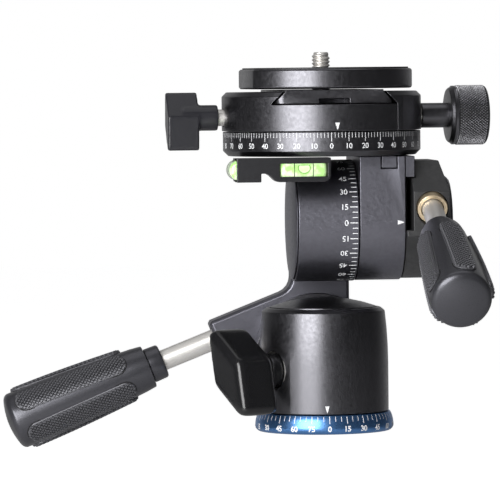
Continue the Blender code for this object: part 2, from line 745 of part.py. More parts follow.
def make_yoke(roll):
    tilt_line = along(X_AXIS, (0, 0, TILT_HEIGHT))
    roll_line = along(Y_AXIS, (0, 0, ROLL_HEIGHT))
    yoke = add("roll_yoke", prism(
        yoke_outline(), YOKE_FRONT_Y, YOKE_BACK_Y,
    ), parent=roll, finish=VIOLET_BLACK)
    bevel(yoke, YOKE_EDGE, 1)
    web_y = HOUSING_RADIUS / 2
    combine(yoke, "UNION", [
        tool("housing_body", cylinder(
            HOUSING_RADIUS, -HOUSING_HALF_WIDTH + GAP, HOUSING_HALF_WIDTH - GAP / 10, BIG_ROUND,
        ), tilt_line, roll),
        tool("housing_web", box(
            (GAP * 2 - NECK_LEFT, web_y, TILT_HEIGHT - WEB_DROP),
            (HOUSING_HALF_WIDTH - GAP, YOKE_FRONT_Y + OVERRUN, TILT_HEIGHT - GAP),
        ), parent=roll),
    ])
    washer_seat = HOUSING_HALF_WIDTH - WASHER_THICKNESS
    cap_seat = -HOUSING_HALF_WIDTH + GAP + END_CAP_PLUG_DEPTH
    combine(yoke, "DIFFERENCE", [
        tool("tilt_bores", turned([
            (0, -HOUSING_HALF_WIDTH - OVERRUN),
            (END_CAP_PLUG_RADIUS + GAP, -HOUSING_HALF_WIDTH - OVERRUN),
            (END_CAP_PLUG_RADIUS + GAP, cap_seat),
            (TILT_AXLE_RADIUS + GAP, cap_seat),
            (TILT_AXLE_RADIUS + GAP, washer_seat),
            (TILT_WASHER_RADIUS + GAP, washer_seat),
            (TILT_WASHER_RADIUS + GAP, HOUSING_HALF_WIDTH + OVERRUN),
            (0, HOUSING_HALF_WIDTH + OVERRUN),
        ], MID_ROUND), tilt_line, roll),
        tool("roll_bores", turned([
            (0, YOKE_FRONT_Y - OVERRUN),
            (WASHER_RADIUS + GAP, YOKE_FRONT_Y - OVERRUN),
            (WASHER_RADIUS + GAP, YOKE_FRONT_Y + WASHER_THICKNESS + GAP),
            (ROLL_AXLE_RADIUS + GAP, YOKE_FRONT_Y + WASHER_THICKNESS + GAP),
            (ROLL_AXLE_RADIUS + GAP, YOKE_BACK_Y + OVERRUN),
            (0, YOKE_BACK_Y + OVERRUN),
        ], MID_ROUND), roll_line, roll),
        tool("arm_bore", cylinder(
            ROD_RADIUS + GAP, -ROD_SEAT_DEPTH - GAP, OVERRUN, SMALL_ROUND,
        ), roll_handle_frame(), roll),
    ])
    add("roll_washer", tube(
        ROLL_AXLE_RADIUS + GAP, WASHER_RADIUS, YOKE_FRONT_Y, YOKE_FRONT_Y + WASHER_THICKNESS, MID_ROUND,
    ), roll_line, roll, NYLON)
    add("tilt_axle", cylinder(
        TILT_AXLE_RADIUS, cap_seat + GAP, TILT_AXLE_END, MID_ROUND,
    ), tilt_line, roll, STEEL)
    add("tilt_washer", tube(
        TILT_AXLE_RADIUS + GAP, TILT_WASHER_RADIUS, washer_seat + GAP, HOUSING_HALF_WIDTH, MID_ROUND,
    ), tilt_line, roll, NYLON)
    flange = HOUSING_HALF_WIDTH
    add("tilt_end_cap", turned([
        (0, -cap_seat + GAP),
        (END_CAP_PLUG_RADIUS, -cap_seat + GAP),
        (END_CAP_PLUG_RADIUS, flange),
        (END_CAP_RADIUS, flange),
        (END_CAP_RADIUS, flange + END_CAP_EDGE / 2),
        (END_CAP_RADIUS - END_CAP_EDGE, flange + END_CAP_EDGE),
        (END_CAP_RADIUS / 2, flange + END_CAP_EDGE + END_CAP_BULGE * 3 / 4),
        (0, flange + END_CAP_EDGE + END_CAP_BULGE),
    ], BIG_ROUND), along(-X_AXIS, (0, 0, TILT_HEIGHT)), roll, VIOLET_BLACK)


# Handles, both alike


def grip_radius(place):
    """The grip's radius at a distance from its collar's end."""
    share = (place - COLLAR_LENGTH) / (GRIP_LENGTH - GRIP_EDGE - COLLAR_LENGTH)
    swell = math.sin(min(max(share, 0), 1) * math.pi / 2)
    return GRIP_START_RADIUS + (GRIP_RADIUS - GRIP_START_RADIUS) * swell


def grip_profile():
    bore = ROD_RADIUS + GAP
    swell_length = GRIP_LENGTH - GRIP_EDGE - COLLAR_LENGTH
    chamfer = COLLAR_RADIUS / 10
    points = [
        (0, ROD_GRIP_DEPTH + GAP),
        (bore, ROD_GRIP_DEPTH + GAP),
        (bore, 0),
        (COLLAR_RADIUS - chamfer, 0),
        (COLLAR_RADIUS, chamfer),
        (COLLAR_RADIUS, COLLAR_LENGTH),
    ]
    points += [
        (grip_radius(COLLAR_LENGTH + swell_length * share), COLLAR_LENGTH + swell_length * share)
        for share in GRIP_SWELL_SHARES
    ]
    centre = (GRIP_RADIUS - GRIP_EDGE, GRIP_LENGTH - GRIP_EDGE)
    points += arc(centre, GRIP_EDGE, math.radians(15), math.radians(75), 2)
    points.append((0, GRIP_LENGTH))
    return points


def pad_solid(work):
    """One long pad on the grip, a closed slab that follows the swell."""
    length = PAD_END - PAD_START
    layers = []
    for lift in (GAP, GAP + PAD_THICKNESS):
        grid = []
        for share in PAD_ROW_SHARES:
            place = PAD_START + length * share
            to_end = min(share, 1 - share) * length
            inset = max(0.0, PAD_WIDTH / 2 - to_end)
            half = max(math.sqrt((PAD_WIDTH / 2) ** 2 - inset ** 2), PAD_WIDTH / 5)
            radius = grip_radius(place) + lift
            angles = [(2 * k / PAD_COLUMNS - 1) * half / radius for k in range(PAD_COLUMNS + 1)]
            grid.append([
                work.verts.new((radius * math.cos(angle), radius * math.sin(angle), place))
                for angle in angles
            ])
        layers.append(grid)
        for low, high in zip(grid, grid[1:]):
            for k in range(PAD_COLUMNS):
                work.faces.new((low[k], low[k + 1], high[k + 1], high[k]))
    rims = [
        grid[0] + [line[-1] for line in grid[1:]] + grid[-1][-2::-1] + [line[0] for line in grid[-2:0:-1]]
        for grid in layers
    ]
    for spot in range(len(rims[0])):
        following = (spot + 1) % len(rims[0])
        work.faces.new((rims[0][spot], rims[0][following], rims[1][following], rims[1][spot]))


def make_handle(prefix, first_pad, frame, parent):
    hub = axis_empty(prefix + "_handle_axis", frame, parent)
    grip_frame = frame @ Matrix.Translation(Z_AXIS * ROD_VISIBLE)
    add(prefix + "_handle_rod", cylinder(
        ROD_RADIUS, -ROD_SEAT_DEPTH, ROD_VISIBLE + ROD_GRIP_DEPTH, SMALL_ROUND,
    ), frame, hub, STEEL)
    add(prefix + "_handle_grip", turned(grip_profile(), MID_ROUND), grip_frame, hub, BLACK_PLASTIC)
    for k in range(PAD_COUNT):
        turn = Matrix.Rotation(first_pad + math.tau * k / PAD_COUNT, 4, "Z")
        add(f"{prefix}_handle_pad_{k + 1}", pad_solid, grip_frame @ turn, hub, RUBBER)


# Tilt bracket, lock block and what they carry


def tilt_handle_frame():
    direction = (0, -math.cos(HANDLE_SLOPE), -math.sin(HANDLE_SLOPE))
    return along(direction, (TILT_HANDLE_X, BLOCK_FRONT_Y, TILT_HANDLE_Z))


def make_bracket(tilt):
    tilt_line = along(X_AXIS, (0, 0, TILT_HEIGHT))
    cheek = arc((0, TILT_HEIGHT), BRACKET_RADIUS, math.pi, math.tau, BIG_ROUND // 2)
    cheek += [(BRACKET_RADIUS, BRACKET_TOP), (-BRACKET_RADIUS, BRACKET_TOP)]
    bracket = add("tilt_bracket", prism(
        cheek, BRACKET_START, BRACKET_END, "YZ",
    ), parent=tilt, finish=VIOLET_BLACK)
    combine(bracket, "UNION", [
        tool("bracket_flange", box(
            (BRACKET_END - OVERRUN, -BRACKET_RADIUS + GAP, SLOT_TOP),
            (BRACKET_END + FLANGE_REACH, BRACKET_RADIUS - GAP, BRACKET_TOP - GAP / 10),
        ), parent=tilt),
    ])
    key_low = (KEY_CENTRE_X - KEY_WIDTH / 2, -BRACKET_RADIUS, BRACKET_TOP - KEY_HEIGHT)
    key_high = (KEY_CENTRE_X + KEY_WIDTH / 2, -BRACKET_RADIUS + KEY_DEPTH, BRACKET_TOP)
    slack = Vector((GAP, GAP, GAP))
    combine(bracket, "DIFFERENCE", [
        tool("bracket_bore", cylinder(
            TILT_AXLE_RADIUS + GAP, BRACKET_START - OVERRUN, BRACKET_END + OVERRUN, MID_ROUND,
        ), tilt_line, tilt),
        tool("key_seat", box(
            Vector(key_low) - slack - Y_AXIS * OVERRUN, Vector(key_high) + slack + Z_AXIS * OVERRUN,
        ), parent=tilt),
    ])
    for side, place in SIDES.items():
        hole, spot = dial_pin(DIAL_PIN_RADIUS + GAP, side, GAP)
        combine(bracket, "DIFFERENCE", [tool("dial_pin_hole_" + place, hole, spot, tilt)])
        shank, spot = dial_pin(DIAL_PIN_RADIUS, side)
        add("dial_pin_" + place, shank, spot, tilt, STEEL)
    add("bracket_key", box(key_low, key_high), parent=tilt, finish=BLACK_ANODISED)


def dial_pin(radius, side, extra=0.0):
    """A dowel that keys the dial to the bracket, on one side of the tilt axis."""
    place = (BRACKET_START + BRACKET_WIDTH / 3, side * DIAL_PIN_SPACING / 2, BRACKET_TOP)
    top = DIAL_PIN_LENGTH - DIAL_PIN_DEPTH + extra
    shank = cylinder(radius, -DIAL_PIN_DEPTH - extra, top, SMALL_ROUND)
    return shank, Matrix.Translation(place)


def make_lock_block(tilt):
    tilt_line = along(X_AXIS, (0, 0, TILT_HEIGHT))
    centre = (0, TILT_HEIGHT)
    side = [
        (BLOCK_TOP_FRONT_Y, BLOCK_TOP),
        (BLOCK_FRONT_Y, BLOCK_SHOULDER),
        (BLOCK_FRONT_Y, BLOCK_NOSE),
    ]
    side += arc(centre, BLOCK_LOWER_RADIUS, BLOCK_ARC_START, math.tau, MID_ROUND // 2)
    side += [(BLOCK_LOWER_RADIUS, BLOCK_SHOULDER), (BLOCK_TOP_BACK_Y, BLOCK_TOP)]
    block = add("tilt_lock_block", prism(
        side, BLOCK_START, BLOCK_END, "YZ",
    ), parent=tilt, finish=BLACK_ANODISED)
    shoulder = [
        (BLOCK_END - BLOCK_CHAMFER, BLOCK_TOP + OVERRUN),
        (BLOCK_END + OVERRUN, BLOCK_TOP + OVERRUN),
        (BLOCK_END + OVERRUN, BLOCK_SHOULDER),
        (BLOCK_END, BLOCK_SHOULDER),
    ]
    combine(block, "DIFFERENCE", [
        tool("block_chamfer", prism(
            shoulder, BLOCK_FRONT_Y - OVERRUN, BLOCK_LOWER_RADIUS + OVERRUN,
        ), parent=tilt),
        tool("flange_seat", box(
            (BLOCK_START - OVERRUN, BLOCK_FRONT_Y - OVERRUN, SLOT_TOP - GAP),
            (BRACKET_END + FLANGE_REACH + GAP, BLOCK_LOWER_RADIUS + OVERRUN, BLOCK_TOP + OVERRUN),
        ), parent=tilt),
        tool("clamp_slot", box(
            (BLOCK_START - OVERRUN, BLOCK_FRONT_Y - OVERRUN, SLOT_BOTTOM),
            (BLOCK_START + SLOT_WIDTH, SLOT_BACK_Y, SLOT_TOP),
        ), parent=tilt),
        tool("block_bore", cylinder(
            TILT_AXLE_RADIUS + GAP, BLOCK_START - OVERRUN, BLOCK_END + OVERRUN, MID_ROUND,
        ), tilt_line, tilt),
        tool("bush_seat", cylinder(
            HANDLE_BUSH_RADIUS + GAP, -HANDLE_BUSH_DEPTH - GAP, HANDLE_BUSH_DEPTH, MID_ROUND,
        ), tilt_handle_frame(), tilt),
        tool("rod_seat", cylinder(
            ROD_RADIUS + GAP, -ROD_SEAT_DEPTH - GAP, OVERRUN, SMALL_ROUND,
        ), tilt_handle_frame(), tilt),
    ])
    add("handle_bush", tube(
        ROD_RADIUS + GAP, HANDLE_BUSH_RADIUS, -HANDLE_BUSH_DEPTH, HANDLE_BUSH_PROUD, MID_ROUND,
    ), tilt_handle_frame(), tilt, BRASS)
    cap_start = BLOCK_END + GAP
    add("axle_cap", turned([
        (0, cap_start),
        (AXLE_CAP_RADIUS, cap_start),
        (AXLE_CAP_RADIUS, cap_start + AXLE_CAP_THICKNESS / 2),
        (AXLE_CAP_RADIUS - AXLE_CAP_THICKNESS / 2, cap_start + AXLE_CAP_THICKNESS),
        (0, cap_start + AXLE_CAP_THICKNESS),
    ], MID_ROUND), tilt_line, tilt, BLACK_ANODISED)


def make_dial(tilt):
    bore = TOP_SPINDLE_RADIUS + GAP
    top = DIAL_BOTTOM + DIAL_HEIGHT
    dial = add("pan_dial", turned([
        (bore, DIAL_BOTTOM),
        (DIAL_RADIUS - DIAL_CHAMFER, DIAL_BOTTOM),
        (DIAL_RADIUS, DIAL_BOTTOM + DIAL_CHAMFER),
        (DIAL_RADIUS, top),
        (bore, top),
    ], BIG_ROUND, ring=True), parent=tilt, finish=BLACK_ANODISED)
    for side, place in SIDES.items():
        hole, spot = dial_pin(DIAL_PIN_RADIUS + GAP, side, GAP)
        combine(dial, "DIFFERENCE", [tool("dial_pin_seat_" + place, hole, spot, tilt)])
    add("top_spindle", cylinder(
        TOP_SPINDLE_RADIUS, DIAL_BOTTOM, DIAL_BOTTOM + TOP_SPINDLE_HEIGHT, MID_ROUND,
    ), parent=tilt, finish=STEEL)


def make_levels(tilt):
    left = LEVEL_SIDE_X
    back = LEVEL_FRONT_Y + LEVEL_THICKNESS
    pod_left = LEVEL_RIGHT_X - LEVEL_POD_LENGTH
    arm_z = LEVEL_TOP - LEVEL_ARM_HEIGHT
    foot = (LEVEL_RIGHT_X, LEVEL_BOTTOM)
    heel = (pod_left, LEVEL_BOTTOM)
    bend = (pod_left - LEVEL_FILLET, arm_z)
    front = [
        (LEVEL_RIGHT_X, LEVEL_TOP),
        *rounded((LEVEL_RIGHT_X, LEVEL_TOP), foot, heel, LEVEL_POD_ROUND, 3),
        *rounded(foot, heel, bend, LEVEL_POD_ROUND, 2),
        *rounded(heel, bend, (left, arm_z), LEVEL_FILLET, 2),
        (left + LEVEL_SIDE_WIDTH, arm_z),
        (left + LEVEL_SIDE_WIDTH, LEVEL_BOTTOM),
        (left, LEVEL_BOTTOM),
        (left, LEVEL_TOP),
    ]
    holder = add("level_holder", prism(front, LEVEL_FRONT_Y, back), parent=tilt, finish=BLACK_PLASTIC)
    side_back = LEVEL_FRONT_Y + LEVEL_SIDE_LENGTH
    combine(holder, "UNION", [
        tool("level_side_arm", box(
            (left + GAP, back - OVERRUN, LEVEL_BOTTOM + GAP),
            (left + LEVEL_SIDE_WIDTH - GAP, side_back, LEVEL_TOP - GAP),
        ), parent=tilt),
    ])
    pod_middle = LEVEL_RIGHT_X - LEVEL_POD_LENGTH / 2
    vial_y = LEVEL_FRONT_Y - VIAL_PROUD + VIAL_RADIUS
    side_middle = (LEVEL_FRONT_Y + side_back) / 2
    places = {
        "level_vial_front": along(X_AXIS, (pod_middle, vial_y, LEVEL_AXIS_Z)),
        "level_vial_side": along(Y_AXIS, (left + LEVEL_SIDE_SINK, side_middle, LEVEL_AXIS_Z)),
    }
    for name, frame in places.items():
        half = VIAL_LENGTH / 2
        combine(holder, "DIFFERENCE", [
            tool(name + "_seat", cylinder(
                VIAL_RADIUS + GAP, -half - GAP, half + GAP, MID_ROUND,
            ), frame, tilt),
        ])
        add(name, cylinder(VIAL_RADIUS, -half, half, MID_ROUND), frame, tilt, VIAL_GREEN)


# Panning clamp


def clamp_frame():
    return Matrix.Rotation(CLAMP_PAN_REST, 4, "Z")


def clamp_line(side):
    """The frame of the clamp's two screws: out along +X or -X of the clamp."""
    return clamp_frame() @ along(X_AXIS * side, (0, 0, CLAMP_AXIS_Z))


def clamp_disc():
    return turned([
        (0, CLAMP_BOTTOM),
        (CLAMP_RADIUS, CLAMP_BOTTOM),
        (CLAMP_RADIUS, CLAMP_TOP - CLAMP_CHAMFER),
        (CLAMP_RADIUS - CLAMP_CHAMFER, CLAMP_TOP),
        (0, CLAMP_TOP),
    ], BIG_ROUND)


def guide_frame(side):
    """The line of one of the jaw's two guide pins."""
    return clamp_frame() @ along(X_AXIS, (0, side * GUIDE_PIN_Y, CLAMP_AXIS_Z))


def make_clamp(clamp):
    frame = clamp_frame()
    body = add("clamp_body", clamp_disc(), frame, clamp, BLACK_ANODISED)
    lip = CHANNEL_HALF_WIDTH - CHANNEL_DEPTH
    wide = CLAMP_RADIUS + OVERRUN
    channel = [
        (-wide, CHANNEL_FLOOR),
        (CHANNEL_HALF_WIDTH, CHANNEL_FLOOR),
        (CHANNEL_HALF_WIDTH, CLAMP_BOTTOM - OVERRUN),
        (wide, CLAMP_BOTTOM - OVERRUN),
        (wide, CLAMP_TOP + OVERRUN),
        (-wide, CLAMP_TOP + OVERRUN),
    ]
    rail_share = [
        (-wide, CHANNEL_FLOOR + GAP),
        (-CHANNEL_HALF_WIDTH + GAP, CHANNEL_FLOOR + GAP),
        (-lip + OVERRUN, CLAMP_TOP + OVERRUN),
        (-wide, CLAMP_TOP + OVERRUN),
    ]
    pin_end = GUIDE_PIN_START + GUIDE_PIN_LENGTH
    combine(body, "DIFFERENCE", [
        tool("clamp_channel", prism(channel, -wide, wide), frame, clamp),
        tool("clamp_spindle_bore", cylinder(
            TOP_SPINDLE_RADIUS + GAP, CLAMP_BOTTOM - OVERRUN, CLAMP_BOTTOM + TOP_SPINDLE_BORE_DEPTH, MID_ROUND,
        ), frame, clamp),
        tool("clamp_screw_bore", cylinder(
            CLAMP_SCREW_RADIUS + GAP, CLAMP_SCREW_START - GAP, wide, SMALL_ROUND,
        ), clamp_line(1), clamp),
        tool("top_lock_bore", cylinder(
            LOCK_SCREW_RADIUS + GAP, TOP_SPINDLE_RADIUS, wide, SMALL_ROUND,
        ), clamp_line(-1), clamp),
    ])
    rail = add("clamp_rail", clamp_disc(), frame, clamp, BLACK_ANODISED)
    combine(rail, "INTERSECT", [
        tool("rail_share", prism(rail_share, -wide, wide), frame, clamp),
    ])
    for side, place in SIDES.items():
        combine(body, "DIFFERENCE", [tool("guide_bore_" + place, cylinder(
            GUIDE_PIN_RADIUS + GAP, GUIDE_PIN_START - GAP, wide, SMALL_ROUND,
        ), guide_frame(side), clamp)])
        add("jaw_guide_pin_" + place, cylinder(
            GUIDE_PIN_RADIUS, GUIDE_PIN_START, pin_end, SMALL_ROUND,
        ), guide_frame(side), clamp, STEEL)
    add("top_lock_pad", cylinder(
        LOCK_SCREW_RADIUS, TOP_PAD_INNER, TOP_SCREW_INNER - GAP, SMALL_ROUND,
    ), clamp_line(-1), clamp, BRASS)


def make_jaw(jaw):
    frame = clamp_frame()
    block = add("clamp_jaw", clamp_disc(), frame, jaw, BLACK_ANODISED)
    inner = CHANNEL_HALF_WIDTH + GAP
    wide = CLAMP_RADIUS + OVERRUN
    keep = [
        (inner, CLAMP_BOTTOM - OVERRUN),
        (wide, CLAMP_BOTTOM - OVERRUN),
        (wide, CLAMP_TOP + OVERRUN),
        (inner - CHANNEL_DEPTH - OVERRUN, CLAMP_TOP + OVERRUN),
        (inner, CHANNEL_FLOOR),
    ]
    combine(block, "INTERSECT", [tool("jaw_share", prism(keep, -wide, wide), frame, jaw)])
    pin_room = GUIDE_PIN_START + GUIDE_PIN_LENGTH + OVERRUN / 2
    combine(block, "DIFFERENCE", [
        tool("jaw_screw_bore", cylinder(
            CLAMP_SCREW_RADIUS + GAP, 0, wide, SMALL_ROUND,
        ), clamp_line(1), jaw),
    ])
    for side, place in SIDES.items():
        combine(block, "DIFFERENCE", [tool("jaw_guide_bore_" + place, cylinder(
            GUIDE_PIN_RADIUS + GAP, 0, pin_room, SMALL_ROUND,
        ), guide_frame(side), jaw)])


def make_clamp_knob(jaw):
    frame = clamp_line(1)
    hub = axis_empty("clamp_knob_axis", frame, jaw)
    seat = CLAMP_RADIUS + GAP
    screw_end = CLAMP_KNOB_START + (CLAMP_KNOB_END - CLAMP_KNOB_START) / 2
    bore = CLAMP_SCREW_RADIUS + GAP
    add("clamp_knob", turned([
        (0, screw_end + GAP),
        (bore, screw_end + GAP),
        (bore, seat),
        (CLAMP_COLLAR_RADIUS, seat),
        (CLAMP_COLLAR_RADIUS, CLAMP_KNOB_START),
        (CLAMP_KNOB_RADIUS - CLAMP_KNOB_BEVEL / 2, CLAMP_KNOB_START),
        (CLAMP_KNOB_RADIUS, CLAMP_KNOB_START + CLAMP_KNOB_BEVEL),
        (CLAMP_KNOB_RADIUS, CLAMP_KNOB_END - CLAMP_KNOB_RIM),
        (CLAMP_KNOB_RADIUS - CLAMP_KNOB_RIM, CLAMP_KNOB_END),
        (0, CLAMP_KNOB_END),
    ], MID_ROUND), frame, hub, BLACK_ANODISED)
    add("clamp_screw", cylinder(
        CLAMP_SCREW_RADIUS, CLAMP_SCREW_START, screw_end, SMALL_ROUND,
    ), frame, hub, STEEL)


def make_top_knob(clamp):
    frame = clamp_line(-1)
    hub = axis_empty("top_knob_axis", frame, clamp)
    make_wing_knob(
        ("top_lock_knob", "top_lock_screw"), frame, hub,
        (TOP_STEM_RADIUS, TOP_STEM_START),
        (TOP_WING_START, TOP_WING_THICKNESS, TOP_WING_LENGTH, TOP_WING_WIDTH, TOP_WING_DROP),
        (TOP_SCREW_INNER, TOP_WING_START + TOP_WING_THICKNESS / 2),
        TOP_KNOB_TWIST,
    )


# Camera plate and its screw


def flat_disc_outline(radius, flat):
    """A circle with one flat towards -X."""
    angle = math.acos(flat / radius)
    return arc((0, 0), radius, -math.pi + angle, math.pi - angle, BIG_ROUND)


def make_plate(plate):
    frame = clamp_frame()
    body = add("camera_plate", prism(
        flat_disc_outline(PLATE_RADIUS, PLATE_FLAT), PLATE_BOTTOM, PLATE_TOP, "XY",
    ), frame, plate, BLACK_ANODISED)
    bevel(body, PLATE_EDGE, 1)
    make_foot(frame, plate)
    mat_bottom = PLATE_TOP - MAT_SINK + GAP
    recess = flat_disc_outline(PLATE_RADIUS - MAT_INSET + GAP, PLATE_FLAT - MAT_INSET + GAP)
    combine(body, "DIFFERENCE", [
        tool("mat_recess", prism(recess, PLATE_TOP - MAT_SINK, PLATE_TOP + OVERRUN, "XY"), frame, plate),
        tool("stud_bore", cylinder(
            STUD_RADIUS + GAP, PLATE_BOTTOM - OVERRUN, PLATE_TOP + OVERRUN, SMALL_ROUND,
        ), frame, plate),
    ])
    mat = add("plate_mat", prism(
        flat_disc_outline(PLATE_RADIUS - MAT_INSET, PLATE_FLAT - MAT_INSET),
        mat_bottom, mat_bottom + MAT_THICKNESS, "XY",
    ), frame, plate, RUBBER)
    combine(mat, "DIFFERENCE", [
        tool("mat_bore", cylinder(
            STUD_RADIUS + GAP, mat_bottom - OVERRUN, mat_bottom + OVERRUN, SMALL_ROUND,
        ), frame, plate),
    ])
    make_stud(plate)


def make_foot(frame, plate):
    """The dovetail under the plate, with blunt edges, rounded ends and a notch at the front."""
    top = PLATE_BOTTOM - GAP
    neck = FOOT_HALF_WIDTH + FOOT_LAND - CHANNEL_DEPTH + GAP
    land_z = FOOT_BOTTOM + FOOT_LAND
    outline = [
        (-FOOT_HALF_WIDTH, FOOT_BOTTOM),
        (FOOT_HALF_WIDTH, FOOT_BOTTOM),
        (FOOT_HALF_WIDTH, land_z),
        (neck, land_z + FOOT_HALF_WIDTH - neck),
        (neck, top),
        (-neck, top),
        (-neck, land_z + FOOT_HALF_WIDTH - neck),
        (-FOOT_HALF_WIDTH, land_z),
    ]
    foot = add("plate_foot", prism(
        outline, -FOOT_HALF_LENGTH, FOOT_HALF_LENGTH,
    ), frame, plate, BLACK_ANODISED)
    plan = rounded_outline([
        (FOOT_HALF_WIDTH, -FOOT_HALF_LENGTH),
        (FOOT_HALF_WIDTH, FOOT_HALF_LENGTH),
        (-FOOT_HALF_WIDTH, FOOT_HALF_LENGTH),
        (-FOOT_HALF_WIDTH, -FOOT_HALF_LENGTH),
    ], FOOT_CORNER)
    combine(foot, "INTERSECT", [
        tool("foot_plan", prism(plan, FOOT_BOTTOM - OVERRUN, top + OVERRUN, "XY"), frame, plate),
    ])
    head_top = FOOT_BOTTOM + STUD_HEAD_HEIGHT + GAP * 2
    combine(foot, "DIFFERENCE", [
        tool("plate_notch", box(
            (-NOTCH_HALF_WIDTH, -FOOT_HALF_LENGTH - OVERRUN, FOOT_BOTTOM - OVERRUN),
            (NOTCH_HALF_WIDTH, -FOOT_HALF_LENGTH + NOTCH_DEPTH, FOOT_BOTTOM + NOTCH_HEIGHT),
        ), frame, plate),
        tool("stud_shoulder_bore", turned([
            (0, FOOT_BOTTOM - OVERRUN),
            (STUD_HEAD_RADIUS + GAP, FOOT_BOTTOM - OVERRUN),
            (STUD_HEAD_RADIUS + GAP, head_top),
            (STUD_RADIUS + GAP, head_top),
            (STUD_RADIUS + GAP, PLATE_BOTTOM + OVERRUN),
            (0, PLATE_BOTTOM + OVERRUN),
        ], MID_ROUND), frame, plate),
    ])


def make_stud(plate):
    hub = axis_empty("camera_screw_axis", clamp_frame(), plate)
    head_bottom = FOOT_BOTTOM + GAP
    head_top = head_bottom + STUD_HEAD_HEIGHT
    mat_top = PLATE_TOP - MAT_SINK + GAP + MAT_THICKNESS
    top = mat_top + STUD_HEIGHT
    profile = [
        (0, head_bottom),
        (STUD_HEAD_RADIUS, head_bottom),
        (STUD_HEAD_RADIUS, head_top),
        (STUD_RADIUS, head_top),
    ]
    for k in range(STUD_TURNS, -1, -1):
        crest = top - STUD_PITCH / 2 - k * STUD_PITCH
        profile += [(STUD_ROOT_RADIUS, crest - STUD_PITCH / 2), (STUD_RADIUS, crest)]
    profile += [(STUD_ROOT_RADIUS, top), (0, top)]
    add("camera_screw", turned(profile, SMALL_ROUND), clamp_frame(), hub, STEEL)


def main():
    clear_scene()
    make_base()
    pan = axis_empty("pan_axis", Matrix.Identity(4))
    make_barrel(pan)
    make_pan_knob(pan)
    roll = axis_empty("roll_axis", along(Y_AXIS, (0, 0, ROLL_HEIGHT)), pan)
    make_yoke(roll)
    make_handle("roll", ROLL_PAD_ANGLE, roll_handle_frame(), roll)
    tilt = axis_empty("tilt_axis", along(X_AXIS, (0, 0, TILT_HEIGHT)), roll)
    make_bracket(tilt)
    make_lock_block(tilt)
    make_dial(tilt)
    make_levels(tilt)
    make_handle("tilt", TILT_PAD_ANGLE, tilt_handle_frame(), tilt)
    clamp = axis_empty("clamp_pan_axis", clamp_frame(), tilt)
    make_clamp(clamp)
    make_top_knob(clamp)
    jaw = axis_empty("jaw_slide", clamp_frame(), clamp)
    make_jaw(jaw)
    make_clamp_knob(jaw)
    plate = axis_empty("plate_slide", clamp_frame(), clamp)
    make_plate(plate)


main()
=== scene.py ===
import json
import math

import bmesh
import bpy
from mathutils import Matrix, Vector

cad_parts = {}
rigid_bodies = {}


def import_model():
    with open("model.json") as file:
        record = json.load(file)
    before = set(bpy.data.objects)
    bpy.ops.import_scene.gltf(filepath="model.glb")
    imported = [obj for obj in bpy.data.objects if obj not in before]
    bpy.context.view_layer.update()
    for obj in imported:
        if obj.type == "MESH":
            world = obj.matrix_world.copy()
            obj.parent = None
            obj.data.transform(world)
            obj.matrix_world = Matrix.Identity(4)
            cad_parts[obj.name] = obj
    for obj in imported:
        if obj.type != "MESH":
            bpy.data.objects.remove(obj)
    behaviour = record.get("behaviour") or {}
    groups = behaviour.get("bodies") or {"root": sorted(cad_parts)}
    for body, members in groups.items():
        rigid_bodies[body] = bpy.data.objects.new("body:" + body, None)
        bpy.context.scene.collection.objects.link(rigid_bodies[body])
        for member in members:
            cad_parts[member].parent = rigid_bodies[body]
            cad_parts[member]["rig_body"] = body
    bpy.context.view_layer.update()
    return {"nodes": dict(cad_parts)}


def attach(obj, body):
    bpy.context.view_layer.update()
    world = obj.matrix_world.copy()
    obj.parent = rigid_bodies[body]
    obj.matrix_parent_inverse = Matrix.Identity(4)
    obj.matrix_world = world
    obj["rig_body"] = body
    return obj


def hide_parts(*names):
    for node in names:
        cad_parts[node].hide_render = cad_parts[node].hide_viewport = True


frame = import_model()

MM = 0.001
SHARP_DEGREES = 32

X_AXIS = Vector((1, 0, 0))
Y_AXIS = Vector((0, 1, 0))
Z_AXIS = Vector((0, 0, 1))

# Sizes shared with the solids, in millimetres
TILT_HEIGHT = 74.3
HOUSING_RADIUS = 21.5
NECK_HALF_WIDTH = 10.8
HANDLE_SLOPE = math.radians(21.5)
ROLL_HANDLE_START = (-36.3, 29.5, 31.0)
TILT_HANDLE_START = (36.2, -24.0, 78.7)
ROD_VISIBLE = 20.2
ROD_RADIUS = 3.7
COLLAR_RADIUS = 6.2
COLLAR_LENGTH = 5.5
GRIP_LENGTH = 60.0
GRIP_START_RADIUS = 8.0
GRIP_RADIUS = 10.3
GRIP_EDGE = 3.6
CAP_DOME = 1.2
PAD_START = 13.0
PAD_END = 55.0
PAD_WIDTH = 7.6
ROLL_PAD_ANGLE = 38
TILT_PAD_ANGLE = 10
PAN_KNOB_ANGLE = math.radians(60)
PAN_KNOB_DIRECTION = Vector((-math.sin(PAN_KNOB_ANGLE), -math.cos(PAN_KNOB_ANGLE), 0))
PAN_KNOB_HEIGHT = 22.0
PAN_SEAT_PROFILE = ((6.75, 18.8), (6.98, 18.8), (6.98, 21.9), (6.75, 21.9))
VIAL_LENGTH = 16.0
VIAL_RADIUS = 3.6
VIAL_ROUND = 1.5
FRONT_VIAL_PLACE = (-9.7, -28.8, 93.0)
SIDE_VIAL_PLACE = (-31.8, -22.5, 93.0)
BARREL_RADIUS = 22.9
BRACKET_FRONT = 21.3
CLAMP_PAN_REST = math.radians(3)
CLAMP_AXIS_Z = 111.1
CLAMP_RADIUS = 35.3
CHANNEL_FLOOR = 115.6
CHANNEL_HALF_WIDTH = 22.4
DIAL_RADIUS = 35.0
DIAL_TOP = 106.0
STUD_TOP = 133.9

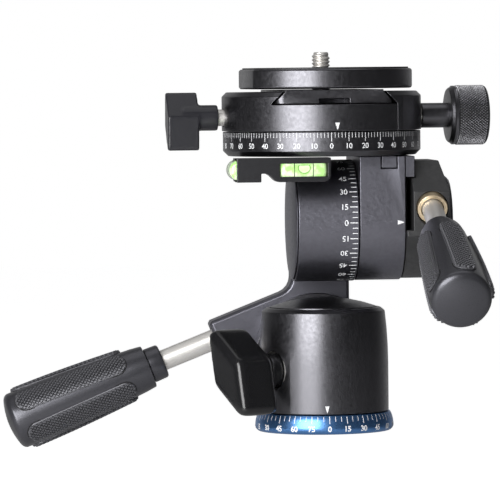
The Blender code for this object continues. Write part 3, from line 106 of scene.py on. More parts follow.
# Details that only the scene has, in millimetres
WELD = 0.002
PAD_FLOOR = 0.55
PAD_CREST = 1.28
PAD_BLEND = 0.93
# The next two set the dark strip of painted shadow round each pad: how far it reaches past the pad
# and how far it stands above the grip.
PAD_SHADOW_REACH = 0.35
PAD_SHADOW_LIFT = 0.06
DIAMOND_LENGTH = 1.62
DIAMOND_WIDTH = 1.20
DIAMOND_FOOT = 0.47
DIAMOND_MARGIN = 0.32
DIAMOND_TIP = 0.56
DIAMOND_CORNERS = ((1, 0), (0, 1), (-1, 0), (0, -1))
KNURL_START = 48.0
KNURL_END = 58.4
KNURL_ROOT = 10.2
KNURL_CREST = 10.6
KNURL_PITCH = 1.22
KNURL_COUNT = 66
KNURL_FOOT = 0.76
KNURL_PEAK = 0.40
# The knurl's groove floor is a dark ring of painted shade, standing this far above the root.
GROOVE_SHADE_LIFT = 0.02
THREAD_START = 128.0
THREAD_ROOT = 2.60
THREAD_CREST = 3.17
THREAD_PITCH = 1.27
LEVEL_RING_PLACE = 3.25
LEVEL_RING_HALF = 0.14
BUBBLE_WIDTH = 1.75
BUBBLE_FLAT = 1.0
BUBBLE_LENGTH = 2.1
BUBBLE_RIM = 0.17
BUBBLE_DRIFT = 0.1

# Marks stand this far above the metal
LIFT = 0.03

# Index marks: the tip's height and the triangle's half width and length
BARREL_INDEX_TURN = math.radians(-3.4)
BARREL_INDEX_HEIGHT = 7.4
BARREL_INDEX = (0.75, 2.5)
CLAMP_INDEX_HEIGHT = 106.7
CLAMP_INDEX = (0.8, 2.6)

# Scales: a tick is its length and half its width, a label is the height of its digits
PAN_TICK = (1.75, 0.08)
PAN_LONG_TICK = (3.0, 0.095)
PAN_LABEL = 1.85
PAN_LABEL_DROP = 4.75
BASE_TICK = (1.75, 0.10)
BASE_LONG_TICK = (2.5, 0.13)
BASE_TICK_TOP = 6.35
BASE_LABEL = 1.9
BASE_LABEL_HEIGHT = 2.0
TILT_TICK = (1.9, 0.13)
TILT_LONG_TICK = (2.7, 0.16)
TILT_LABEL = 2.0
TILT_LABEL_INSET = 3.4
DIGIT_SHARE = 0.70
LABEL_STEP = 0.45
LABEL_WEIGHT = 0.010
BASE_LABEL_WEIGHT = 0.035
PAN_SCALE_TURN = math.radians(-0.4)
TILT_SCALE_TURN = math.radians(-0.8)
BASE_SCALE_TURN = math.radians(-1.6)


# Materials

# The Mix node's sockets when it mixes colours
MIX_FIRST, MIX_SECOND, MIX_RESULT = 6, 7, 2


class Shader:
    """A Principled material whose sockets are set, or fed by procedural nodes."""

    def __init__(self, name, colour, roughness, metallic=0.0, **sockets):
        self.material = bpy.data.materials.new(name)
        self.material.use_nodes = True
        self.tree = self.material.node_tree
        self.principled = self.tree.nodes["Principled BSDF"]
        self.set("Base Color", (*colour, 1))
        self.set("Roughness", roughness)
        self.set("Metallic", metallic)
        for socket, value in sockets.items():
            self.set(socket.replace("_", " "), value)
        self.material.diffuse_color = (*colour, 1)

    def set(self, socket, value):
        self.principled.inputs[socket].default_value = value

    def node(self, kind, **values):
        made = self.tree.nodes.new(kind)
        for name, value in values.items():
            setattr(made, name, value)
        return made

    def link(self, source, target):
        self.tree.links.new(source, target)

    def place(self):
        """Coordinates fixed to the object, in metres."""
        return self.node("ShaderNodeTexCoord").outputs["Object"]

    def noise(self, scale, detail):
        made = self.node("ShaderNodeTexNoise")
        made.inputs["Scale"].default_value = scale
        made.inputs["Detail"].default_value = detail
        self.link(self.place(), made.inputs["Vector"])
        return made.outputs["Fac"]

    def spread(self, source, low, high, start=0.3, end=0.7):
        made = self.node("ShaderNodeMapRange")
        made.inputs["From Min"].default_value = start
        made.inputs["From Max"].default_value = end
        made.inputs["To Min"].default_value = low
        made.inputs["To Max"].default_value = high
        self.link(source, made.inputs["Value"])
        return made.outputs["Result"]

    def colours(self, source, low, high, start=0.3, end=0.7):
        ramp = self.node("ShaderNodeValToRGB")
        ramp.color_ramp.elements[0].position = start
        ramp.color_ramp.elements[0].color = (*low, 1)
        ramp.color_ramp.elements[1].position = end
        ramp.color_ramp.elements[1].color = (*high, 1)
        self.link(source, ramp.inputs["Fac"])
        return ramp.outputs["Color"]

    def worn_edges(self, base, wear_and_highlight):
        """Mixes a lighter tone in on sharp convex edges, broken up by noise: wear, and where the
        tone is much lighter, also a painted highlight along the edges.
        """
        geometry = self.node("ShaderNodeNewGeometry")
        sharp = self.spread(geometry.outputs["Pointiness"], 0.0, 0.35, 0.53, 0.62)
        broken = self.spread(self.noise(700, 4), 0.0, 1.0, 0.35, 0.65)
        amount = self.node("ShaderNodeMath", operation="MULTIPLY")
        self.link(sharp, amount.inputs[0])
        self.link(broken, amount.inputs[1])
        mix = self.node("ShaderNodeMix", data_type="RGBA")
        self.link(amount.outputs["Value"], mix.inputs["Factor"])
        self.link(base, mix.inputs[MIX_FIRST])
        mix.inputs[MIX_SECOND].default_value = (*wear_and_highlight, 1)
        return mix.outputs[MIX_RESULT]

    def drive(self, socket, source):
        self.link(source, self.principled.inputs[socket])

    def bump(self, source, strength, distance):
        made = self.node("ShaderNodeBump")
        made.inputs["Strength"].default_value = strength
        made.inputs["Distance"].default_value = distance
        self.link(source, made.inputs["Height"])
        self.link(made.outputs["Normal"], self.principled.inputs["Normal"])


def shade(colour, factor):
    return tuple(channel * factor for channel in colour)


def anodised(name, colour, roughness, grain=1.0):
    """Bead-blasted and anodised aluminium: a fine even grain with a faint cloud of tone."""
    made = Shader(name, colour, roughness, 1.0)
    cloud = made.noise(45, 3)
    made.drive("Base Color", made.worn_edges(
        made.colours(cloud, shade(colour, 0.92), shade(colour, 1.08)), shade(colour, 2.4),
    ))
    made.drive("Roughness", made.spread(made.noise(900, 2), roughness - 0.05, roughness + 0.06))
    made.bump(made.noise(5200, 2), 0.16 * grain, 0.00004)
    return made.material


def turned_metal(name, colour, roughness, metallic):
    """Ground or turned metal, with a fine even grain."""
    made = Shader(name, colour, roughness, metallic)
    grain = made.noise(4200, 3)
    made.drive("Base Color", made.colours(grain, shade(colour, 0.94), shade(colour, 1.04)))
    made.drive("Roughness", made.spread(grain, roughness - 0.03, roughness + 0.05))
    made.bump(grain, 0.12, 0.00002)
    return made.material


def moulded(name, colour, roughness, scale=2600, depth=0.08, wear_and_highlight=2.2):
    """Moulded plastic or rubber, or a cast finish, with a fine grain."""
    made = Shader(name, colour, roughness)
    cloud = made.noise(60, 3)
    made.drive("Base Color", made.worn_edges(
        made.colours(cloud, shade(colour, 0.94), shade(colour, 1.06)), shade(colour, wear_and_highlight),
    ))
    made.drive("Roughness", made.spread(made.noise(900, 2), roughness - 0.02, roughness + 0.02))
    made.bump(made.noise(scale, 3), depth, 0.00005)
    return made.material


def painted_mark(name, colour):
    """Paint in an engraved mark, a little uneven."""
    made = Shader(name, colour, 0.55)
    worn = made.noise(1800, 3)
    made.drive("Base Color", made.colours(worn, shade(colour, 0.86), colour, 0.30, 0.55))
    made.bump(made.noise(4000, 2), 0.15, 0.00003)
    return made.material


def vial_liquid():
    """Yellow-green liquid behind clear acrylic, with paler clouds, and a faint glow that is painted
    light.
    """
    made = Shader(
        "vial_liquid", (0.50, 0.86, 0.22), 0.08, Coat_Weight=1.0, Coat_Roughness=0.03,
        # Painted light: the emission makes the liquid glow faintly, though it is no lamp.
        Emission_Strength=0.22, Emission_Color=(0.62, 0.95, 0.38, 1),
    )
    made.drive("Base Color", made.colours(
        made.noise(330, 3), (0.40, 0.78, 0.22), (0.86, 0.97, 0.70), 0.40, 0.60,
    ))
    return made.material


def clear_bubble(name, low, high):
    """Air seen through the vial's wall."""
    made = Shader(name, high, 0.05, Coat_Weight=1.0, Coat_Roughness=0.02)
    made.drive("Base Color", made.colours(made.noise(300, 2), low, high))
    return made.material


LOOKS = {
    "black_anodised": anodised("black_anodised_finish", (0.118, 0.117, 0.127), 0.34),
    "violet_black": anodised("violet_black_finish", (0.155, 0.154, 0.178), 0.42),
    "knurled_black": anodised("knurled_black_finish", (0.340, 0.338, 0.355), 0.36, 0.1),
    # The cast block's edges take a tone eight times lighter: partly wear, partly a painted
    # highlight along its edges.
    "cast_black": moulded("cast_black_finish", (0.021, 0.021, 0.022), 0.46, 3400, 0.20, 8),
    "blue_anodised": turned_metal("blue_anodised_finish", (0.095, 0.23, 0.50), 0.30, 0.9),
    "steel": turned_metal("steel_finish", (0.76, 0.74, 0.71), 0.42, 0.75),
    "brass": turned_metal("brass_finish", (0.84, 0.68, 0.46), 0.34, 0.85),
    "black_plastic": moulded("black_plastic_finish", (0.015, 0.015, 0.017), 0.30),
    "satin_black": turned_metal("satin_black_finish", (0.076, 0.076, 0.086), 0.30, 0.65),
    "violet_plastic": moulded("violet_plastic_finish", (0.018, 0.018, 0.022), 0.33),
    "gloss_plastic": moulded("gloss_plastic_finish", (0.010, 0.010, 0.011), 0.22, 2600, 0.10),
    "rubber": turned_metal("rubber_finish", (0.150, 0.150, 0.163), 0.42, 0.6),
    "mat_rubber": moulded("mat_rubber_finish", (0.022, 0.022, 0.024), 0.55, 3200, 0.15),
    "nylon": moulded("nylon_finish", (0.70, 0.69, 0.64), 0.50),
    "vial": vial_liquid(),
    "mark": painted_mark("mark_paint", (0.92, 0.93, 0.95)),
    # Near black: painted shadow round the pads and painted shade on the knurl's groove floor, and
    # also the real dark level rings on the vials.
    "dark_gap": moulded("painted_shadow_and_ring_black_finish", (0.004, 0.004, 0.005), 0.7),
    "bubble": clear_bubble("vial_bubble", (0.66, 0.92, 0.40), (0.85, 0.99, 0.66)),
    # The bubble's rim: painted shade round the bubble's outline.
    "bubble_rim": clear_bubble("vial_bubble_rim", (0.14, 0.42, 0.06), (0.26, 0.58, 0.12)),
}


# Pieces


def piece(name, mesh, body, look, replaced=()):
    """A new mesh object that rides on a body, with its look and the nodes that it stands for."""
    obj = bpy.data.objects.new(name, mesh)
    bpy.context.scene.collection.objects.link(obj)
    mesh.materials.clear()
    mesh.materials.append(LOOKS[look])
    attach(obj, body)
    if replaced:
        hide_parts(*replaced)
    return obj


def to_mesh(name, work, sharp=SHARP_DEGREES):
    """A smooth-shaded mesh whose edges stay sharp past an angle in degrees."""
    bmesh.ops.recalc_face_normals(work, faces=work.faces)
    mesh = bpy.data.meshes.new(name)
    work.to_mesh(mesh)
    work.free()
    mesh.shade_smooth()
    mesh.set_sharp_from_angle(angle=math.radians(sharp))
    return mesh


def soften(obj, width, segments=2):
    """A small round on every sharp edge, so that it takes a highlight."""
    step = obj.modifiers.new("soft_edges", "BEVEL")
    step.width = width * MM
    step.segments = segments
    step.limit_method = "ANGLE"
    step.angle_limit = math.radians(SHARP_DEGREES)
    step.use_clamp_overlap = False
    step.harden_normals = True


def welded(node):
    """A bmesh copy of one CAD node, with its triangles' shared corners joined."""
    work = bmesh.new()
    work.from_mesh(frame["nodes"][node].data)
    bmesh.ops.remove_doubles(work, verts=work.verts, dist=WELD * MM)
    return work


def merge_flats(work):
    """Turns the triangles of each flat face into one polygon."""
    bmesh.ops.dissolve_limit(
        work, angle_limit=math.radians(0.8), verts=work.verts, edges=work.edges,
    )
    return work


def join(work, part):
    """Adds one bmesh to another and frees it."""
    held = bpy.data.meshes.new("held")
    part.to_mesh(held)
    part.free()
    work.from_mesh(held)
    bpy.data.meshes.remove(held)


def dress(node, look, edge):
    """A smooth-shaded skin of one CAD node, with its edges softened."""
    name = node + "_skin"
    body = frame["nodes"][node]["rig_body"]
    mesh = to_mesh(name, merge_flats(welded(node)))
    obj = piece(name, mesh, body, look, [node])
    if edge:
        soften(obj, edge)
    return obj


def make_clamp_body():
    """The clamp body and its fixed rail as one piece of metal, with no line between them."""
    across = Matrix.Rotation(CLAMP_PAN_REST, 3, "Z") @ X_AXIS
    floor = CHANNEL_FLOOR * MM
    seam = 0.3 * MM
    near = seam * 0.1
    foot = -CHANNEL_HALF_WIDTH * MM + seam
    work = welded("clamp_body")
    bmesh.ops.bisect_plane(
        work, geom=[*work.verts, *work.edges, *work.faces], plane_co=across * foot, plane_no=across,
    )
    rail = welded("clamp_rail")
    for vert in rail.verts:
        if vert.co.z < floor + seam + near:
            vert.co.z = floor
    for shape in (work, rail):
        bmesh.ops.delete(shape, context="FACES_ONLY", geom=[
            face for face in shape.faces
            if all(abs(vert.co.z - floor) < near for vert in face.verts)
            and face.calc_center_median().dot(across) < foot
        ])
    join(work, rail)
    bmesh.ops.remove_doubles(work, verts=work.verts, dist=near)
    mesh = to_mesh("clamp_body_skin", merge_flats(work))
    skin = piece("clamp_body_skin", mesh, "clamp", "black_anodised",
                 replaced=["clamp_body", "clamp_rail"])
    soften(skin, 0.25)


def smooth_skin(node, look, edge, voxel, passes, swell):
    """A skin of one CAD node with every edge rounded off, as on a moulded or tumbled piece."""
    obj = dress(node, look, 0)
    soften(obj, edge, 4)
    grid = obj.modifiers.new("fine_grid", "REMESH")
    grid.mode = "VOXEL"
    grid.voxel_size = voxel * MM
    grid.use_smooth_shade = True
    rounding = obj.modifiers.new("rounding", "SMOOTH")
    rounding.factor = 0.5
    rounding.iterations = passes
    filled = obj.modifiers.new("filled_out", "DISPLACE")
    filled.strength = swell * MM
    filled.mid_level = 0
    return obj


def reach_inward(obj, direction, start, end, reach):
    """Moves a knob's inner half towards what it screws into, which makes its wing thicker."""
    for vert in obj.data.vertices:
        if start * MM < vert.co.dot(direction) < end * MM:
            vert.co -= direction * reach * MM


def make_wing_knobs():
    pan_knob = smooth_skin(
        "pan_lock_knob", "gloss_plastic", edge=0.8, voxel=0.45, passes=150, swell=0.45,
    )
    reach_inward(pan_knob, PAN_KNOB_DIRECTION, start=25, end=36, reach=1.9)
    smooth_skin("top_lock_knob", "violet_plastic", edge=0.5, voxel=0.30, passes=14, swell=0.03)


def make_knob_seat():
    """The bare metal wall of the pan knob's counterbore."""
    work = turned(PAN_SEAT_PROFILE, 64, close=True)
    moved(work, along(PAN_KNOB_DIRECTION, (0, 0, PAN_KNOB_HEIGHT)))
    piece("pan_seat_wall", to_mesh("pan_seat_wall", work), "pan_body", "steel")


def along(direction, place):
    """A frame at a place in millimetres whose Z runs along a direction, with X kept level."""
    z = Vector(direction).normalized()
    x = Z_AXIS.cross(z).normalized()
    y = z.cross(x)
    return Matrix.Translation(Vector(place) * MM) @ Matrix((x, y, z)).transposed().to_4x4()


def turned(profile, sides, close=False):
    """A bmesh turned about Z from radius and height in millimetres."""
    work = bmesh.new()
    rows = []
    for radius, height in profile:
        if radius == 0:
            rows.append([work.verts.new((0, 0, height * MM))])
            continue
        rows.append([
            work.verts.new((
                radius * MM * math.cos(math.tau * k / sides),
                radius * MM * math.sin(math.tau * k / sides),
                height * MM,
            ))
            for k in range(sides)
        ])
    pairs = list(zip(rows, rows[1:]))
    if close:
        pairs.append((rows[-1], rows[0]))
    for low, high in pairs:
        for k in range(sides):
            ends = (
                low[k % len(low)], low[(k + 1) % len(low)],
                high[(k + 1) % len(high)], high[k % len(high)],
            )
            corners = list(dict.fromkeys(ends))
            if len(corners) > 2:
                work.faces.new(corners)
    return work


def add_band(work, low, high):
    """A closed band of faces between two loops of as many points."""
    for k in range(len(low)):
        following = (k + 1) % len(low)
        work.faces.new((low[k], low[following], high[following], high[k]))


def moved(work, matrix):
    bmesh.ops.transform(work, matrix=matrix, verts=work.verts)
    return work


# Scales: ticks, numbers and index marks


def label_shapes(text, height, weight):
    """The flat triangles of a short number, centred, in millimetres."""
    data = bpy.data.curves.new("label", "FONT")
    data.body = text
    data.size = height / DIGIT_SHARE
    data.align_x = "CENTER"
    data.align_y = "CENTER"
    data.offset = height * weight
    data.space_character = 0.96
    data.resolution_u = 3
    holder = bpy.data.objects.new("label", data)
    bpy.context.scene.collection.objects.link(holder)
    bpy.context.view_layer.update()
    work = bmesh.new()
    work.from_mesh(holder.to_mesh())
    holder.to_mesh_clear()
    for _ in range(3):
        long_edges = [edge for edge in work.edges if edge.calc_length() > LABEL_STEP]
        bmesh.ops.subdivide_edges(work, edges=long_edges, cuts=1)
        bmesh.ops.triangulate(work, faces=work.faces)
    work.verts.index_update()
    points = [(v.co.x, v.co.y) for v in work.verts]
    corners = [tuple(v.index for v in face.verts) for face in work.faces]
    faces = list({frozenset(face): face for face in corners}.values())
    work.free()
    top = max(y for _, y in points)
    low = min(y for _, y in points)
    points = [(x, y - (top + low) / 2) for x, y in points]
    bpy.data.objects.remove(holder)
    bpy.data.curves.remove(data)
    return points, faces


LABELS = {}


def stamp(work, text, height, spot, weight=LABEL_WEIGHT, flipped=False, right=False):
    """Lays a number on a surface. spot turns a flat point in millimetres into a place."""
    if (text, height, weight) not in LABELS:
        LABELS[text, height, weight] = label_shapes(text, height, weight)
    points, faces = LABELS[text, height, weight]
    turn = -1 if flipped else 1
    shift = -max(x * turn for x, _ in points) if right else 0
    verts = [work.verts.new(spot(x * turn + shift, y * turn)) for x, y in points]
    for face in faces:
        work.faces.new([verts[k] for k in face])


def bar(work, low, high, spot):
    """A rectangle on a surface, from its lower left corner to its upper right one."""
    corners = ((low[0], low[1]), (high[0], low[1]), (high[0], high[1]), (low[0], high[1]))
    work.faces.new([work.verts.new(spot(x, y)) for x, y in corners])


def scale_piece(name, work, body):
    """Marks are flat and lie on the metal, so they keep their own normals."""
    mesh = bpy.data.meshes.new(name)
    work.to_mesh(mesh)
    work.free()
    return piece(name, mesh, body, "mark")


def round_spot(angle, radius_at, base):
    """Points on a surface of revolution about Z. Angle 0 is the front and grows to the right."""

    def spot(x, y):
        height = base + y
        radius = radius_at(height) + LIFT
        turn = angle + x / radius
        return Vector((radius * math.sin(turn), -radius * math.cos(turn), height)) * MM

    return spot


def housing_spot(angle, base_x):
    """Points on the tilt housing. Angle 0 is the front and grows upwards."""

    def spot(x, y):
        radius = HOUSING_RADIUS + LIFT
        turn = angle + y / radius
        return Vector((
            base_x + x, -radius * math.cos(turn), TILT_HEIGHT + radius * math.sin(turn),
        )) * MM

    return spot


def make_pan_scale():
    """Ticks every two degrees and numbers every ten, both ways from the front."""
    work = bmesh.new()
    for degree in range(0, 360, 2):
        turn = math.radians(degree) + PAN_SCALE_TURN
        spot = round_spot(turn, lambda z: DIAL_RADIUS, DIAL_TOP)
        numbered = degree % 10 == 0
        length, half = PAN_LONG_TICK if numbered else PAN_TICK
        bar(work, (-half, -length - 0.15), (half, -0.15), spot)
        if numbered:
            spot = round_spot(turn, lambda z: DIAL_RADIUS, DIAL_TOP - PAN_LABEL_DROP)
            stamp(work, str(min(degree, 360 - degree)), PAN_LABEL, spot)
    scale_piece("pan_scale", work, "tilt_frame")


# Radius and height round the base dial's section
BASE_PROFILE = (
    (16.3, 0), (23.2, 0), (23.7, 0.25), (24.2, 0.75), (24.48, 1.2), (24.58, 1.6), (24.6, 2.1),
    (24.56, 2.6), (24.48, 3.2), (24.32, 4.1), (24.1, 5.0), (23.8, 5.8), (23.4, 6.6), (16.3, 6.6),
)


def base_radius(height):
    """The dial's radius at a height up its rim."""
    rim = BASE_PROFILE[1:-1]
    for (low_radius, low), (high_radius, high) in zip(rim, rim[1:]):
        if height <= high:
            return low_radius + (high_radius - low_radius) * (height - low) / (high - low)
    return rim[-1][0]


def make_base_ring():
    """The base dial, with ticks every five degrees and numbers every fifteen."""
    work = turned(BASE_PROFILE, 160, close=True)
    piece("base_ring_skin", to_mesh("base_ring_skin", work, 40), "base", "blue_anodised",
          replaced=["base_dial_ring"])
    work = bmesh.new()
    steps = 4
    for degree in range(0, 360, 5):
        turn = math.radians(degree) + BASE_SCALE_TURN
        spot = round_spot(turn, base_radius, 0)
        numbered = degree % 15 == 0
        length, half = BASE_LONG_TICK if numbered else BASE_TICK
        for k in range(steps):
            high = BASE_TICK_TOP - length * k / steps
            bar(work, (-half, high - length / steps), (half, high), spot)
        if numbered:
            spot = round_spot(turn, base_radius, BASE_LABEL_HEIGHT)
            stamp(work, str(degree % 90), BASE_LABEL, spot, weight=BASE_LABEL_WEIGHT)
    scale_piece("base_scale", work, "base")


def make_tilt_scale():
    """Ticks every five degrees and numbers every fifteen, upside down below the middle."""
    work = bmesh.new()
    right = NECK_HALF_WIDTH - 0.5
    for degree in range(-75, 76, 5):
        turn = math.radians(degree) + TILT_SCALE_TURN
        numbered = degree % 15 == 0
        length, half = TILT_LONG_TICK if numbered else TILT_TICK
        bar(work, (-length, -half), (0, half), housing_spot(turn, right))
        if numbered:
            spot = housing_spot(turn, right - TILT_LABEL_INSET)
            stamp(work, str(abs(degree)), TILT_LABEL, spot, flipped=degree < 0, right=True)
    scale_piece("tilt_scale", work, "roll_frame")


def pointer(name, body, corners):
    """A painted triangle."""
    work = bmesh.new()
    work.faces.new([work.verts.new(corner) for corner in corners])
    scale_piece(name, work, body)


def make_pointers():
    """An index mark on the barrel, on the clamp and on the bracket."""
    barrel = round_spot(BARREL_INDEX_TURN, lambda z: BARREL_RADIUS, BARREL_INDEX_HEIGHT)
    clamp = round_spot(CLAMP_PAN_REST, lambda z: CLAMP_RADIUS, CLAMP_INDEX_HEIGHT)
    for name, body, spot, (half, length) in (
        ("barrel_index", "pan_body", barrel, BARREL_INDEX),
        ("clamp_index", "clamp", clamp, CLAMP_INDEX),
    ):
        pointer(name, body, [spot(0, 0), spot(half, length), spot(-half, length)])
    front = -BRACKET_FRONT - LIFT
    pointer("bracket_index", "tilt_frame", [
        Vector((26.7, front, TILT_HEIGHT - 0.3)) * MM,
        Vector((24.3, front, TILT_HEIGHT + 0.5)) * MM,
        Vector((24.3, front, TILT_HEIGHT - 1.1)) * MM,
    ])


# Handles


def grip_radius(place):
    """The grip swells from its collar to its rounded end."""
    share = (place - COLLAR_LENGTH) / (GRIP_LENGTH - GRIP_EDGE - COLLAR_LENGTH)
    swell = math.sin(min(max(share, 0), 1) * math.pi / 2)
    return GRIP_START_RADIUS + (GRIP_RADIUS - GRIP_START_RADIUS) * swell


def grip_skin(name, turn, body, node):
    """The collar, the swelling grip, its rounded rim and its domed end, all turned."""
    neck = COLLAR_RADIUS - 0.25
    points = [
        (3.9, 0.9), (3.9, 0.1), (COLLAR_RADIUS - 0.8, 0), (neck, 0.25), (COLLAR_RADIUS, 0.8),
        (COLLAR_RADIUS + 0.15, COLLAR_LENGTH - 0.35), (neck, COLLAR_LENGTH - 0.15),
        (neck, COLLAR_LENGTH), (GRIP_START_RADIUS - 0.7, COLLAR_LENGTH),
        (GRIP_START_RADIUS - 0.2, COLLAR_LENGTH + 0.2),
    ]
    swell_start = COLLAR_LENGTH + 0.5
    swell_end = GRIP_LENGTH - GRIP_EDGE
    steps = 14
    for k in range(1, steps + 1):
        place = swell_start + (swell_end - swell_start) * k / steps
        points.append((grip_radius(place), place))
    steps = 8
    last = math.radians(70)
    rim_height = GRIP_LENGTH - CAP_DOME - swell_end
    for k in range(1, steps + 1):
        angle = last * k / steps
        radius = GRIP_RADIUS - GRIP_EDGE * (1 - math.cos(angle))
        points.append((radius, swell_end + rim_height * math.sin(angle) / math.sin(last)))
    for k in range(1, steps + 1):
        share = 1 - k / steps
        points.append((radius * share, GRIP_LENGTH - CAP_DOME * share ** 2))
    work = moved(turned(points, 96), turn)
    piece(name, to_mesh(name, work, 50), body, "satin_black", [node])


def depth_in_pad(x, s):
    """How far a point lies inside the pad's outline, positive inside."""
    half = PAD_WIDTH / 2
    middle = min(max(s, PAD_START + half), PAD_END - half)
    return half - math.hypot(x, s - middle)


def stadium_rim(inset):
    """Points round the pad's outline, a distance inside it."""
    half = PAD_WIDTH / 2 - inset
    steps = 10
    rim = []
    for first, middle in ((0, PAD_END - inset - half), (math.pi, PAD_START + inset + half)):
        for k in range(steps + 1):
            angle = first + math.pi * k / steps
            rim.append((half * math.cos(angle), middle + half * math.sin(angle)))
    return rim


def grip_point(angle, x, s, height):
    """A place on the grip: across it from an angle, along it, and above its surface."""
    radius = grip_radius(s) + height
    turn = angle + x / grip_radius(s)
    return Vector((radius * math.cos(turn), radius * math.sin(turn), s)) * MM


def pad_loop(work, angle, inset, height):
    return [work.verts.new(grip_point(angle, x, s, height)) for x, s in stadium_rim(inset)]


def pad_skin(name, turn, angle, body, node):
    """A pad with a slab, a fine grid of raised diamonds, and a dark strip of painted shadow round
    it.
    """
    work = bmesh.new()
    edge = (1 - PAD_BLEND) * PAD_WIDTH / 2
    levels = ((0, 0.02), (0, PAD_FLOOR - 0.12), (edge, PAD_FLOOR))
    loops = [pad_loop(work, angle, inset, height) for inset, height in levels]
    for low, high in zip(loops, loops[1:]):
        add_band(work, low, high)
    add_diamonds(work, angle)
    add_slab_top(work, angle)
    mesh = bpy.data.meshes.new(name)
    moved(work, turn).to_mesh(mesh)
    work.free()
    mesh.shade_flat()
    piece(name, mesh, body, "rubber", replaced=[node])
    # Painted shadow: a dark strip round the pad's outline, just above the grip, where the pad meets
    # the grip.
    gap = bmesh.new()
    inner = pad_loop(gap, angle, 0.05, PAD_SHADOW_LIFT)
    outer = pad_loop(gap, angle, -PAD_SHADOW_REACH, PAD_SHADOW_LIFT)
    add_band(gap, inner, outer)
    piece(name + "_gap", to_mesh(name + "_gap", moved(gap, turn)), body, "dark_gap")


def add_diamonds(work, angle):
    """Rows of cut pyramids, each row half a step along and every other one half a step across."""
    wide, long = DIAMOND_WIDTH * DIAMOND_FOOT, DIAMOND_LENGTH * DIAMOND_FOOT
    rows = int((PAD_END - PAD_START) / (DIAMOND_LENGTH / 2))
    columns = int(PAD_WIDTH / DIAMOND_WIDTH) + 2
    for row in range(rows + 1):
        s = PAD_START + row * DIAMOND_LENGTH / 2
        shift = DIAMOND_WIDTH / 2 if row % 2 else 0
        for column in range(-columns, columns + 1):
            x = column * DIAMOND_WIDTH + shift
            if depth_in_pad(x, s) < DIAMOND_WIDTH * DIAMOND_MARGIN:
                continue
            foot, peak = (
                [
                    work.verts.new(grip_point(
                        angle, x + wide * u * share, s + long * v * share, height,
                    ))
                    for u, v in DIAMOND_CORNERS
                ]
                for share, height in ((1, PAD_FLOOR - 0.06), (DIAMOND_TIP, PAD_CREST))
            )
            add_band(work, foot, peak)
            work.faces.new(peak)


def add_slab_top(work, angle):
    """The slab's top, in strips along the pad that end on its rounded outline."""
    columns = 6
    steps = 12
    half = PAD_WIDTH * PAD_BLEND / 2
    inset = PAD_WIDTH / 2 - half
    lines = []
    for column in range(columns + 1):
        x = half * math.sin(math.pi / 2 * (2 * column / columns - 1))
        reach = inset + half - math.sqrt(max(half ** 2 - x ** 2, 0))
        low, high = PAD_START + reach, PAD_END - reach
        lines.append([
            work.verts.new(grip_point(angle, x, low + (high - low) * k / steps, PAD_FLOOR))
            for k in range(steps + 1)
        ])
    for left, right in zip(lines, lines[1:]):
        for k in range(steps):
            work.faces.new((left[k], right[k], right[k + 1], left[k + 1]))


def make_handles():
    """Both handles: the grip, five pads round it and the rod, from where the rod shows."""
    cos, sin = math.cos(HANDLE_SLOPE), math.sin(HANDLE_SLOPE)
    handles = (
        ("roll", along((-cos, 0, -sin), ROLL_HANDLE_START), ROLL_PAD_ANGLE),
        ("tilt", along((0, -cos, -sin), TILT_HANDLE_START), TILT_PAD_ANGLE),
    )
    for name, start, first in handles:
        turn = start @ Matrix.Translation(Z_AXIS * ROD_VISIBLE * MM)
        body = name + "_handle"
        grip_skin(name + "_grip_skin", turn, body, name + "_handle_grip")
        for k in range(5):
            angle = math.radians(first + 72 * k)
            pad_skin(f"{name}_pad_skin_{k + 1}", turn, angle, body, f"{name}_handle_pad_{k + 1}")
        rod = moved(turned([
            (0, -9), (ROD_RADIUS - 0.3, -9), (ROD_RADIUS, -8.7), (ROD_RADIUS, ROD_VISIBLE + 13.5),
            (0, ROD_VISIBLE + 14),
        ], 64), start)
        piece(name + "_rod_skin", to_mesh(name + "_rod_skin", rod), body, "steel",
              replaced=[name + "_handle_rod"])


# Clamp knob with its knurl


def make_clamp_knob():
    """The turned knob, a dark ring of painted shade on the grooves' floor, and the knurl that
    stands on it.
    """
    profile = [
        (3.3, 52.0), (3.3, 35.7), (4.2, 35.7), (4.4, 35.9), (4.4, 44.2), (4.4, 45.3), (8.9, 45.3),
        (9.3, 45.4), (9.7, 45.8), (10.0, 46.4), (10.2, 46.6), (10.45, 46.8), (10.45, 47.7),
        (KNURL_ROOT, KNURL_START), (KNURL_ROOT, KNURL_END), (10.3, 58.5), (10.0, 58.8),
        (9.6, 59.0), (9.1, 59.0), (8.9, 58.8), (0, 58.8),
    ]
    floor = KNURL_ROOT + GROOVE_SHADE_LIFT
    grooves = [(floor, KNURL_START - GROOVE_SHADE_LIFT), (floor, KNURL_END + GROOVE_SHADE_LIFT)]
    line = Matrix.Rotation(CLAMP_PAN_REST, 4, "Z") @ along(X_AXIS, (0, 0, CLAMP_AXIS_Z))
    work = moved(turned(profile, 120), line)
    piece("clamp_knob_skin", to_mesh("clamp_knob_skin", work, 20), "jaw_knob", "black_anodised",
          replaced=["clamp_knob"])
    # Painted shade: a dark ring on the floor of the knurl's grooves.
    work = moved(turned(grooves, 120), line)
    piece("clamp_knob_groove_shade", to_mesh("clamp_knob_groove_shade", work), "jaw_knob", "dark_gap")
    work = moved(knurl(), line)
    piece("clamp_knob_knurl", to_mesh("clamp_knob_knurl", work, 20), "jaw_knob", "knurled_black")


